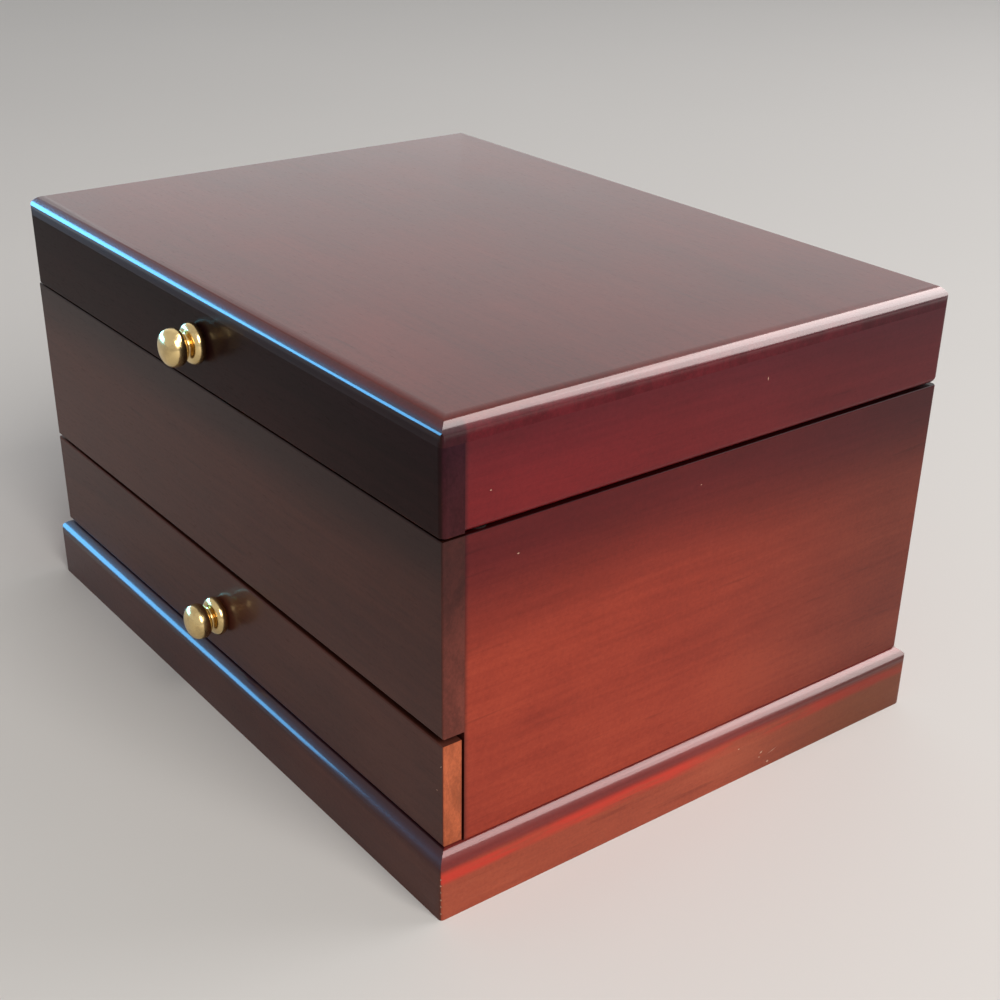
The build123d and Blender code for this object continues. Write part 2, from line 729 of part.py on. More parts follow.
lined_x = drawer_inner_x - drawer_lining
lined_front_y = drawer_front_back_y + drawer_lining
lined_back_y = drawer_back_inner_y - drawer_lining
drawer_lining_spans = {
    "front": ((-drawer_inner_x, drawer_inner_x), (drawer_front_back_y, lined_front_y)),
    "back": ((-drawer_inner_x, drawer_inner_x), (lined_back_y, drawer_back_inner_y)),
    "left": ((-drawer_inner_x, -lined_x), (lined_front_y, lined_back_y)),
    "right": ((lined_x, drawer_inner_x), (lined_front_y, lined_back_y)),
}
for place, (x_span, y_span) in drawer_lining_spans.items():
    with BuildPart() as drawer_lining_wall:
        slab(x_span, y_span, (drawer_lining_base_z, drawer_lining_top_z))
    keep(drawer_lining_wall, f"drawer_lining_{place}")

with BuildPart() as drawer_divider:
    slab(
        (-divider_board / 2, divider_board / 2),
        (lined_front_y, lined_back_y),
        (drawer_lining_base_z, drawer_rim_z - divider_below_rim),
    )
    fillet(drawer_divider.faces().sort_by(Axis.Z)[-1].edges().filter_by(Axis.Y), board_ease)
keep(drawer_divider, "drawer_divider")
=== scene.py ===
"""Looks of a wooden ring box with a drawer, built around its packed construction model.

The box is a lid on two stop hinges over a velvet compartment of ring rolls, with a full-width drawer below
it and a mitred plinth all round.  Every length is in metres, and the frame is the model's own: X to the
right, the front towards -Y, and the floor at Z = 0.
"""

from __future__ import annotations

import json
import logging
import math
from contextlib import contextmanager
from dataclasses import dataclass
from enum import Enum, IntEnum
from typing import Callable, Iterator, Sequence

import bmesh
import bpy
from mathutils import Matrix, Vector

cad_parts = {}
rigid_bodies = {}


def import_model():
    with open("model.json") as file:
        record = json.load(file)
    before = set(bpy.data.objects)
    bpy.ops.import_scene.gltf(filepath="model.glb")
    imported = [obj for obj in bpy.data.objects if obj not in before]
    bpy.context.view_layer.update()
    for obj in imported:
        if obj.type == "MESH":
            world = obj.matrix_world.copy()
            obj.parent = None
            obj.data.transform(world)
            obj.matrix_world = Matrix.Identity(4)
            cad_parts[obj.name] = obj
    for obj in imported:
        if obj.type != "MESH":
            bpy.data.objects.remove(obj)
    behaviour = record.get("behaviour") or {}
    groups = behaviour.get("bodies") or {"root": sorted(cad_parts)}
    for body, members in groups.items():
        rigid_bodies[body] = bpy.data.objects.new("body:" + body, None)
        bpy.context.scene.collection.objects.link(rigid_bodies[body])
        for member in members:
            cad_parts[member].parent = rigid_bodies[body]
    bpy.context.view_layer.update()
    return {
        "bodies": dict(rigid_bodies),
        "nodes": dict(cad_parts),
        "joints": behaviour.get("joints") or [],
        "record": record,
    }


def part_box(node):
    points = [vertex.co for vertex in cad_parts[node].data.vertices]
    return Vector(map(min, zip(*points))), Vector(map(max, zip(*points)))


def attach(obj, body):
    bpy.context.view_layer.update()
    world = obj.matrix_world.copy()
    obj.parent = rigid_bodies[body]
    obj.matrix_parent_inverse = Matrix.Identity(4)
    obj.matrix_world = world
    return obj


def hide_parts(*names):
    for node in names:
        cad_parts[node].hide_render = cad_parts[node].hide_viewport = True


Point = Sequence[float]
Colour = Sequence[float]

LOG = logging.getLogger("ring_box")
MM = 0.001
CASE, LID, DRAWER = "case", "lid", "drawer"


class Axis(IntEnum):
    """The model's axes."""

    X = 0
    Y = 1
    Z = 2


# ---------------------------------------- shader maths
class Sock:
    """One output of a shader node, with arithmetic that adds Math nodes."""

    def __init__(self, bench: Bench, socket: bpy.types.NodeSocket) -> None:
        """Args:
            bench: The bench that owns the node.
            socket: The node's output.
        """
        self.bench = bench
        self.socket = socket

    def __add__(self, other: Sock | float) -> Sock:
        """Sum."""
        return self.bench.math("ADD", self, other)

    __radd__ = __add__

    def __sub__(self, other: Sock | float) -> Sock:
        """Difference."""
        return self.bench.math("SUBTRACT", self, other)

    def __rsub__(self, other: Sock | float) -> Sock:
        """Difference, the other way round."""
        return self.bench.math("SUBTRACT", other, self)

    def __mul__(self, other: Sock | float) -> Sock:
        """Product."""
        return self.bench.math("MULTIPLY", self, other)

    __rmul__ = __mul__

    def __truediv__(self, other: Sock | float) -> Sock:
        """Quotient."""
        return self.bench.math("DIVIDE", self, other)

    def __pow__(self, other: Sock | float) -> Sock:
        """Power."""
        return self.bench.math("POWER", self, other)

    def __abs__(self) -> Sock:
        """Size without its sign."""
        return self.bench.math("ABSOLUTE", self)

    def least(self, other: Sock | float) -> Sock:
        """The smaller of two values."""
        return self.bench.math("MINIMUM", self, other)

    def most(self, other: Sock | float) -> Sock:
        """The larger of two values."""
        return self.bench.math("MAXIMUM", self, other)

    def step(self, start: float, end: float) -> Sock:
        """A smooth rise from 0 to 1.

        Args:
            start: Where it is still 0.
            end: Where it reaches 1, on either side of the start.

        Returns:
            The rise.
        """
        settings = {"interpolation_type": "SMOOTHSTEP"}
        inputs = {"Value": self, "From Min": start, "From Max": end}
        return self.bench.node("ShaderNodeMapRange", settings, inputs)


class Bench:
    """Builds the nodes of one material, or of the world."""

    def __init__(self, owner: bpy.types.Material | bpy.types.World) -> None:
        """Args:
            owner: What the nodes belong to.
        """
        self.owner = owner
        owner.use_nodes = True
        self.tree = owner.node_tree
        self.tree.nodes.clear()

    @classmethod
    def material(cls, name: str) -> Bench:
        """A bench for a new material.

        Args:
            name: The material's name.

        Returns:
            The bench.
        """
        return cls(bpy.data.materials.new(name))

    def node(
        self, kind: str, settings: dict | None = None, inputs: dict | None = None, out: int | str = 0
    ) -> Sock:
        """Adds one node.

        Args:
            kind: The node's type.
            settings: Its own settings, which are set first; "stops" are a ramp's positions and colours.
            inputs: Values or links of its sockets, by name or number.
            out: The output that is returned.

        Returns:
            That output.
        """
        made = self.tree.nodes.new(kind)
        for key, value in (settings or {}).items():
            if key == "stops":
                self._ramp(made, value)
            else:
                setattr(made, key, value)
        for key, value in (inputs or {}).items():
            if isinstance(value, Sock):
                self.tree.links.new(value.socket, made.inputs[key])
            else:
                made.inputs[key].default_value = value
        return Sock(self, made.outputs[out]) if made.outputs else None

    @staticmethod
    def _ramp(made: bpy.types.Node, stops: Sequence[tuple[float, Colour]]) -> None:
        """Sets a colour ramp's stops.

        Args:
            made: The ramp's node.
            stops: Positions with their colours, lowest first.
        """
        elements = made.color_ramp.elements
        while len(elements) < len(stops):
            elements.new(1.0)
        for element, (position, colour) in zip(elements, stops):
            element.position = position
            element.color = (*colour, 1.0)

    def math(self, operation: str, first: Sock | float, second: Sock | float = 0.0) -> Sock:
        """One Math node."""
        return self.node("ShaderNodeMath", {"operation": operation}, {0: first, 1: second})

    def scaled(self, vector: Sock, factors: Point) -> Sock:
        """A vector with each part multiplied by its own number."""
        return self.node("ShaderNodeVectorMath", {"operation": "MULTIPLY"}, {0: vector, 1: tuple(factors)})

    def shifted(self, vector: Sock, offset: Point) -> Sock:
        """A vector moved by an offset."""
        return self.node("ShaderNodeVectorMath", {"operation": "ADD"}, {0: vector, 1: tuple(offset)})

    def parts(self, vector: Sock) -> tuple[Sock, Sock, Sock]:
        """Takes a vector apart.

        Args:
            vector: The vector.

        Returns:
            Its X, Y and Z.
        """
        x = self.node("ShaderNodeSeparateXYZ", inputs={0: vector})
        outputs = x.socket.node.outputs
        return x, Sock(self, outputs[1]), Sock(self, outputs[2])

    def place(self) -> Sock:
        """Object coordinates, in metres."""
        return self.node("ShaderNodeTexCoord", out="Object")

    def facing(self) -> Sock:
        """The surface's normal in the piece's own frame."""
        return self.node("ShaderNodeTexCoord", out="Normal")

    def noise(
        self,
        place: Sock,
        cells: float | Point,
        detail: float = 2.0,
        roughness: float = 0.5,
        distortion: float = 0.0,
    ) -> Sock:
        """Noise.

        Args:
            place: Object coordinates.
            cells: Cells a metre, the same every way or one number for each axis.
            detail: Octaves.
            roughness: Share of each finer octave.
            distortion: How far the pattern is pulled about.

        Returns:
            A value from 0 to 1.
        """
        inputs = {
            "Vector": self.scaled(place, (cells,) * 3 if isinstance(cells, (int, float)) else cells),
            "Scale": 1.0,
            "Detail": detail,
            "Roughness": roughness,
            "Distortion": distortion,
        }
        return self.node("ShaderNodeTexNoise", None, inputs, "Fac")

    def mix(
        self, factor: Sock | float, first: Sock | Colour, second: Sock | Colour, blend: str = "MIX"
    ) -> Sock:
        """A mix of two colours.

        Args:
            factor: Share of the second colour.
            first: The first colour.
            second: The second colour.
            blend: How they are mixed.

        Returns:
            The mixed colour.
        """
        settings = {"data_type": "RGBA", "blend_type": blend}
        first, second = (c if isinstance(c, Sock) else (*c, 1.0) for c in (first, second))
        return self.node("ShaderNodeMix", settings, {0: factor, 6: first, 7: second}, 2)

    def ramp(self, value: Sock, stops: Sequence[tuple[float, Colour]]) -> Sock:
        """A colour ramp."""
        return self.node("ShaderNodeValToRGB", {"stops": stops}, {0: value}, "Color")

    def bump(self, height: Sock, distance: float, strength: float = 1.0) -> Sock:
        """A bumped normal.

        Args:
            height: Height from 0 to 1.
            distance: What a height of 1 stands for, in metres.
            strength: Share of the bump.

        Returns:
            The normal.
        """
        inputs = {"Height": height, "Distance": distance, "Strength": strength}
        return self.node("ShaderNodeBump", None, inputs)

    def finish(self, inputs: dict) -> bpy.types.Material:
        """Ends the material with one Principled shader.

        Args:
            inputs: Values or links of the shader's sockets.

        Returns:
            The material.
        """
        shader = self.node("ShaderNodeBsdfPrincipled", None, inputs)
        self.node("ShaderNodeOutputMaterial", None, {"Surface": shader})
        return self.owner


# ---------------------------------------- finishes
class Grain(Enum):
    """Which way the fibres of a board run."""

    ACROSS = (1, 0, 0)
    DEEP = (0, 1, 0)

    def stretch(self, along: float, across: float) -> tuple[float, ...]:
        """Scale of a pattern that runs with the fibres.

        Args:
            along: Cells a metre along the fibres.
            across: Cells a metre across them.

        Returns:
            The three scales.
        """
        return tuple(along if run else across for run in self.value)


@dataclass(frozen=True)
class Shell:
    """The outer box of an assembly, whose edges are handled and rubbed."""

    low: Point
    high: Point

    @classmethod
    def of(cls, *nodes: str) -> Shell:
        """The box round several construction nodes.

        Args:
            nodes: Their names.

        Returns:
            The box.
        """
        boxes = [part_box(node) for node in nodes]
        low = tuple(min(b[0][i] for b in boxes) for i in range(3))
        high = tuple(max(b[1][i] for b in boxes) for i in range(3))
        return cls(low, high)

    def edge_distance(self, bench: Bench, place: Sock) -> Sock:
        """How far a point of the surface is from the nearest edge of the box.

        Args:
            bench: The material's bench.
            place: Object coordinates.

        Returns:
            The distance in metres: the middle one of the distances to the three pairs of faces.
        """
        bounds = zip(bench.parts(place), self.low, self.high)
        x, y, z = ((part - low).least(high - part) for part, low, high in bounds)
        return x.least(y).most(x.most(y).least(z))


@dataclass(frozen=True)
class Nick:
    """A small bruise that shows the pale wood under the lacquer."""

    spot: Point
    length: float
    width: float
    along: Point

    def mask(self, bench: Bench, place: Sock) -> Sock:
        """1 in the nick and 0 round it.

        Args:
            bench: The material's bench.
            place: Object coordinates.

        Returns:
            The mask.
        """
        offset = bench.shifted(place, [-s for s in self.spot])
        run = Vector(self.along).normalized()
        far = bench.node("ShaderNodeVectorMath", {"operation": "DOT_PRODUCT"}, {0: offset, 1: run}, "Value")
        whole = bench.node("ShaderNodeVectorMath", {"operation": "LENGTH"}, {0: offset}, "Value")
        wide = (whole * whole - far * far).most(0.0) ** 0.5
        reach = abs(far) / (self.length / 2) + wide / (self.width / 2)
        return reach.step(1.1, 0.6)


@dataclass(frozen=True)
class Toner:
    """A tint that grows along one axis, on every face or only on the faces across another axis; most are
    painted shade, a few are dark lines at joints.
    """

    axis: Axis
    start: float
    end: float
    tint: Colour
    facing: Axis | None = None

    def over(self, bench: Bench, place: Sock, colour: Sock) -> Sock:
        """Lays the tint over a colour.

        Args:
            bench: The material's bench.
            place: Object coordinates.
            colour: What the tint is laid over.

        Returns:
            The tinted colour.
        """
        share = bench.parts(place)[self.axis].step(self.start, self.end)
        if self.facing is not None:
            share = share * abs(bench.parts(bench.facing())[self.facing]).step(0.5, 0.8)
        return bench.mix(share, colour, self.tint, "MULTIPLY")


@dataclass(frozen=True)
class Gloss:
    """How much a lacquer reflects: the film under the surface, and the clear coat on it.

    A moulded or level surface is rubbed out to a higher coat than the upright faces.
    """

    film: float = 0.10
    upright_coat: float = 0.18
    level_coat: float = 0.18
    softness: float = 0.11

    def coat(self, bench: Bench) -> Sock:
        """Share of the clear coat.

        Args:
            bench: The material's bench.

        Returns:
            The share, higher wherever the surface looks up even a little.
        """
        level = abs(bench.parts(bench.facing())[Axis.Z]).step(0.03, 0.14)
        return level * (self.level_coat - self.upright_coat) + self.upright_coat


SATIN = Gloss()
POLISHED = Gloss(0.07, 0.10, 0.66)
MOULDED = Gloss(level_coat=0.50)
DULLED = Gloss(0.04, 0.08, 0.08)


@dataclass(frozen=True)
class StainedWood:
    """Dark red stain, toners (most of them painted shade, a few dark lines at joints) and a semi-gloss
    lacquer.

    The stain's colours run from the darkest fibres to the palest, and the end grain has a colour of its own.
    """

    shell: Shell
    stain: Sequence[Colour]
    grain: Grain = Grain.ACROSS
    seed: float = 0.0
    end_tone: Colour = (0.040, 0.010, 0.010)
    toners: tuple[Toner, ...] = ()
    nicks: tuple[Nick, ...] = ()
    gloss: Gloss = SATIN
    # Heights between which a brighter red band, in the colour glow, is mixed in.
    red_band: tuple[float, float] | None = None
    relief: float = 0.02 * MM
    rubbed: Colour = (0.17, 0.030, 0.018)
    bruise: Colour = (0.55, 0.34, 0.24)
    glow: Colour = (0.50, 0.034, 0.020)

    def material(self, name: str) -> bpy.types.Material:
        """Builds the finish.

        Args:
            name: The material's name.

        Returns:
            The material.
        """
        bench = Bench.material(name)
        plain = bench.place()
        place = bench.shifted(plain, (self.seed, 1.7 * self.seed, 0.6 * self.seed))
        clouds = bench.noise(place, 22, 3, 0.55)
        pores = bench.noise(place, self.grain.stretch(260, 2600), 2, 0.55).step(0.58, 0.74)
        colour = self._stained(bench, place, clouds, pores)
        colour = bench.mix(self._end_grain(bench), colour, self._end_colour(bench, place))
        wander = (clouds - 0.5) * (12 * MM)
        drift = bench.node("ShaderNodeCombineXYZ", None, {axis: wander for axis in Axis})
        drifted = bench.node("ShaderNodeVectorMath", {"operation": "ADD"}, {0: plain, 1: drift})
        colour = self._handled(bench, plain, place, colour)
        for toner in self.toners:
            fine = abs(toner.end - toner.start) < 5 * MM
            colour = toner.over(bench, plain if fine else drifted, colour)
        roughness = 0.34 + clouds * 0.08 + pores * 0.10
        height = bench.noise(place, 520, 2, 0.5) * 0.5 - pores * 0.3
        for nick in self.nicks:
            mask = nick.mask(bench, plain)
            colour = bench.mix(mask * 0.8, colour, self.bruise)
            roughness = roughness + mask * 0.3
            height = height - mask * 3.0
        return bench.finish({
            "Base Color": colour,
            "Roughness": roughness,
            "Specular IOR Level": self.gloss.film,
            "Coat Weight": self.gloss.coat(bench),
            "Coat Roughness": self.gloss.softness,
            "Normal": bench.bump(height, self.relief),
        })

    def _stained(self, bench: Bench, place: Sock, clouds: Sock, pores: Sock) -> Sock:
        """Colour of the long grain: soft clouds and bands, fine fibres, and a few short dark flecks.

        Args:
            bench: The material's bench.
            place: Object coordinates, moved by the seed.
            clouds: Soft clouds in the stain.
            pores: Open pores of the wood.

        Returns:
            The colour.
        """
        fibres = bench.noise(place, self.grain.stretch(24, 620), 4, 0.6, 0.2)
        bands = bench.noise(place, self.grain.stretch(5, 38), 3, 0.5, 0.8)
        mottle = bench.noise(place, 1100, 2, 0.6)
        flecks = bench.noise(place, self.grain.stretch(34, 460), 2, 0.5).step(0.66, 0.76)
        tone = fibres * 0.22 + bands * 0.26 + clouds * 0.34 + mottle * 0.18
        dark, body, pale = self.stain
        colour = bench.ramp(tone, [(0.38, dark), (0.5, body), (0.62, pale)])
        return bench.mix((pores * 0.25).most(flecks * 0.35), colour, tuple(0.6 * c for c in dark))

    def _end_grain(self, bench: Bench) -> Sock:
        """1 on the ends of the board and 0 along it."""
        facing = bench.parts(bench.facing())[self.grain.value.index(1)]
        return abs(facing).step(0.55, 0.85)

    def _end_colour(self, bench: Bench, place: Sock) -> Sock:
        """Colour of the end grain, a little blotched.

        Args:
            bench: The material's bench.
            place: Object coordinates, moved by the seed.

        Returns:
            The colour.
        """
        blotches = bench.noise(place, (160, 160, 90), 3, 0.6)
        specks = bench.noise(place, (1500, 1500, 1100), 2, 0.6)
        tone = (blotches * 0.6 + specks * 0.4).step(0.32, 0.68)
        return bench.mix(tone, tuple(0.72 * c for c in self.end_tone), tuple(1.3 * c for c in self.end_tone))

    def _handled(self, bench: Bench, plain: Sock, place: Sock, colour: Sock) -> Sock:
        """Stain rubbed thin on the outer edges, and a brighter red band on a moulding.

        Args:
            bench: The material's bench.
            plain: Object coordinates.
            place: Object coordinates, moved by the seed.
            colour: The colour before it was handled.

        Returns:
            The colour after it.
        """
        distance = self.shell.edge_distance(bench, plain)
        ragged = bench.noise(place, 420, 3, 0.65)
        recoloured = (distance + ragged * (1.4 * MM)).step(1.25 * MM, 0.55 * MM)
        colour = bench.mix(recoloured * 0.45, colour, self.rubbed)
        if self.red_band is not None:
            low, high = self.red_band
            height = bench.parts(plain)[Axis.Z]
            outer, inner = 1.2 * MM, 0.8 * MM
            band = height.step(low - outer, low + inner) * height.step(high + outer, high - inner)
            patchy = bench.noise(place, self.grain.stretch(30, 300), 3, 0.6).step(0.30, 0.60)
            colour = bench.mix(band * patchy * 0.85, colour, self.glow)
        return colour


RED = ((0.195, 0.021, 0.0105), (0.257, 0.031, 0.0148), (0.320, 0.044, 0.0200))
TAWNY = ((0.225, 0.040, 0.0210), (0.290, 0.056, 0.0280), (0.350, 0.074, 0.0360))
CRIMSON = ((0.110, 0.0060, 0.0080), (0.142, 0.0085, 0.0105), (0.176, 0.0115, 0.0130))
# Painted shade: the stain darkened for the faces that look away from the light, on the upper front, the
# drawer front and the plinth front.
SHADED_ESPRESSO = ((0.056, 0.015, 0.0110), (0.078, 0.022, 0.0150), (0.100, 0.030, 0.0200))
# Painted shade: the stain darkened further for the lid front.
SHADED_BLACK = ((0.012, 0.0035, 0.0035), (0.020, 0.0055, 0.0055), (0.029, 0.0080, 0.0075))
MAROON = ((0.074, 0.010, 0.0085), (0.104, 0.014, 0.0110), (0.134, 0.019, 0.0145))

# Tints of the toners: painted shade towards the back of the sides and the lid top; a dark line along a side
# board's joint with the front board; painted shade on the edges at the lid gap.
BACK_SHADE = (0.50, 0.70, 0.80)
JOINT_SHADE = (0.42, 0.5, 0.6)
GAP_SHADE = (0.20, 0.16, 0.16)
PLIES = 3


@dataclass(frozen=True)
class BareWood:
    """Thinly stained close-grained wood, sanded and left without lacquer."""

    grain: Grain = Grain.ACROSS
    seed: float = 0.0
    dark: Colour = (0.17, 0.066, 0.034)
    pale: Colour = (0.33, 0.155, 0.082)

    def material(self, name: str) -> bpy.types.Material:
        """Builds the finish.

        Args:
            name: The material's name.

        Returns:
            The material.
        """
        bench = Bench.material(name)
        place = bench.shifted(bench.place(), (self.seed, self.seed, self.seed))
        fibres = bench.noise(place, self.grain.stretch(14, 600), 5, 0.65, 0.3)
        bands = bench.noise(place, self.grain.stretch(6, 55), 3, 0.5, 1.0)
        pores = bench.noise(place, self.grain.stretch(150, 2400), 2, 0.5).step(0.60, 0.72)
        colour = bench.ramp(fibres * 0.5 + bands * 0.5, [(0.35, self.dark), (0.62, self.pale)])
        colour = bench.mix(pores * 0.5, colour, tuple(0.5 * c for c in self.dark))
        return bench.finish({
            "Base Color": colour,
            "Roughness": 0.55 + pores * 0.2,
            "Specular IOR Level": 0.35,
            "Normal": bench.bump(fibres * 0.6 - pores * 0.5, 0.06 * MM),
        })


@dataclass(frozen=True)
class Plywood:
    """Thin plywood with a veneer on both faces and its plies showing at the edges."""

    low: float
    ply: float
    seed: float = 0.0
    face_dark: Colour = (0.25, 0.135, 0.066)
    face_pale: Colour = (0.42, 0.26, 0.145)
    long_ply: Colour = (0.34, 0.21, 0.12)
    crossed_ply: Colour = (0.16, 0.085, 0.045)
    edge_dirt: Colour = (0.12, 0.06, 0.03)

    def material(self, name: str) -> bpy.types.Material:
        """Builds the finish.

        Args:
            name: The material's name.

        Returns:
            The material.
        """
        bench = Bench.material(name)
        place = bench.shifted(bench.place(), (self.seed, self.seed, 0.0))
        fibres = bench.noise(place, Grain.ACROSS.stretch(12, 480), 5, 0.62, 0.3)
        bands = bench.noise(place, Grain.ACROSS.stretch(5, 40), 3, 0.5, 1.2)
        face = bench.ramp(fibres * 0.45 + bands * 0.55, [(0.34, self.face_dark), (0.64, self.face_pale)])
        layer = (bench.parts(bench.place())[Axis.Z] - self.low) / self.ply
        crossed = bench.math("FLOORED_MODULO", layer, 2.0).step(0.9, 1.1)
        edge = bench.mix(crossed, self.long_ply, self.crossed_ply)
        edge = bench.mix(fibres * 0.4, edge, self.edge_dirt)
        sideways = abs(bench.parts(bench.facing())[Axis.Z]).step(0.7, 0.4)
        return bench.finish({
            "Base Color": bench.mix(sideways, face, edge),
            "Roughness": 0.5 + fibres * 0.2,
            "Specular IOR Level": 0.35,
            "Normal": bench.bump(fibres, 0.05 * MM),
        })


@dataclass(frozen=True)
class Velvet:
    """Short black pile, brushed a little this way and that."""

    seed: float = 0.0
    dark: Colour = (0.012, 0.010, 0.012)
    pale: Colour = (0.040, 0.035, 0.040)
    lint: Colour = (0.16, 0.15, 0.15)
    sheen: Colour = (0.55, 0.50, 0.54)

    def material(self, name: str) -> bpy.types.Material:
        """Builds the finish.

        Args:
            name: The material's name.

        Returns:
            The material.
        """
        bench = Bench.material(name)
        place = bench.shifted(bench.place(), (self.seed, self.seed, self.seed))
        brushed = bench.noise(place, (34, 46, 40), 4, 0.6, 1.2)
        tufts = bench.noise(place, 2600, 2, 0.6)
        lint = bench.noise(place, 900, 1, 0.4).step(0.80, 0.86)
        colour = bench.ramp(brushed * 0.6 + tufts * 0.4, [(0.34, self.dark), (0.66, self.pale)])
        colour = bench.mix(lint * 0.5, colour, self.lint)
        return bench.finish({
            "Base Color": colour,
            "Roughness": 0.86 - brushed * 0.1,
            "Specular IOR Level": 0.2,
            "Sheen Weight": 0.55,
            "Sheen Roughness": 0.35,
            "Sheen Tint": (*self.sheen, 1.0),
            "Normal": bench.bump(tufts, 0.16 * MM, 0.8),
        })


@dataclass(frozen=True)
class Felt:
    """Pressed wool felt with loose fibres on its face."""

    dark: Colour = (0.022, 0.014, 0.012)
    pale: Colour = (0.060, 0.040, 0.034)
    sheen: float = 0.25

    def material(self, name: str) -> bpy.types.Material:
        """Builds the finish.

        Args:
            name: The material's name.

        Returns:
            The material.
        """
        bench = Bench.material(name)
        place = bench.place()
        mat = bench.noise(place, 1500, 4, 0.7, 2.0)
        clumps = bench.noise(place, 160, 3, 0.6)
        colour = bench.ramp(mat * 0.7 + clumps * 0.3, [(0.35, self.dark), (0.65, self.pale)])
        return bench.finish({
            "Base Color": colour,
            "Roughness": 0.94 - mat * 0.06,
            "Specular IOR Level": 0.15,
            "Sheen Weight": self.sheen,
            "Sheen Roughness": 0.6,
            "Normal": bench.bump(mat, 0.2 * MM),
        })


@dataclass(frozen=True)
class Metal:
    """Worked metal with fine tool marks and a little tarnish."""

    bright: Colour
    tarnished: Colour
    roughness: float
    marks: Point = (900, 900, 900)
    tarnish: float = 0.3
    unevenness: float = 1.0

    def material(self, name: str) -> bpy.types.Material:
        """Builds the finish.

        Args:
            name: The material's name.

        Returns:
            The material.
        """
        bench = Bench.material(name)
        place = bench.place()
        patches = bench.noise(place, 260, 4, 0.6).step(0.42, 0.72)
        marks = bench.noise(place, self.marks, 3, 0.6)
        return bench.finish({
            "Base Color": bench.mix(patches * self.tarnish, self.bright, self.tarnished),
            "Metallic": 1.0,
            "Roughness": self.roughness + (patches * 0.08 + marks * 0.05) * self.unevenness,
            "Normal": bench.bump(marks, 0.012 * MM * self.unevenness),
        })


BRASS = Metal((0.80, 0.60, 0.28), (0.38, 0.24, 0.10), 0.16, (500, 3200, 500), 0.45)
ZINC_PLATE = Metal((0.56, 0.55, 0.53), (0.30, 0.29, 0.27), 0.30)
SILVERING = Metal((0.86, 0.88, 0.88), (0.80, 0.83, 0.83), 0.015, (6, 6, 6), 0.1, 0.02)


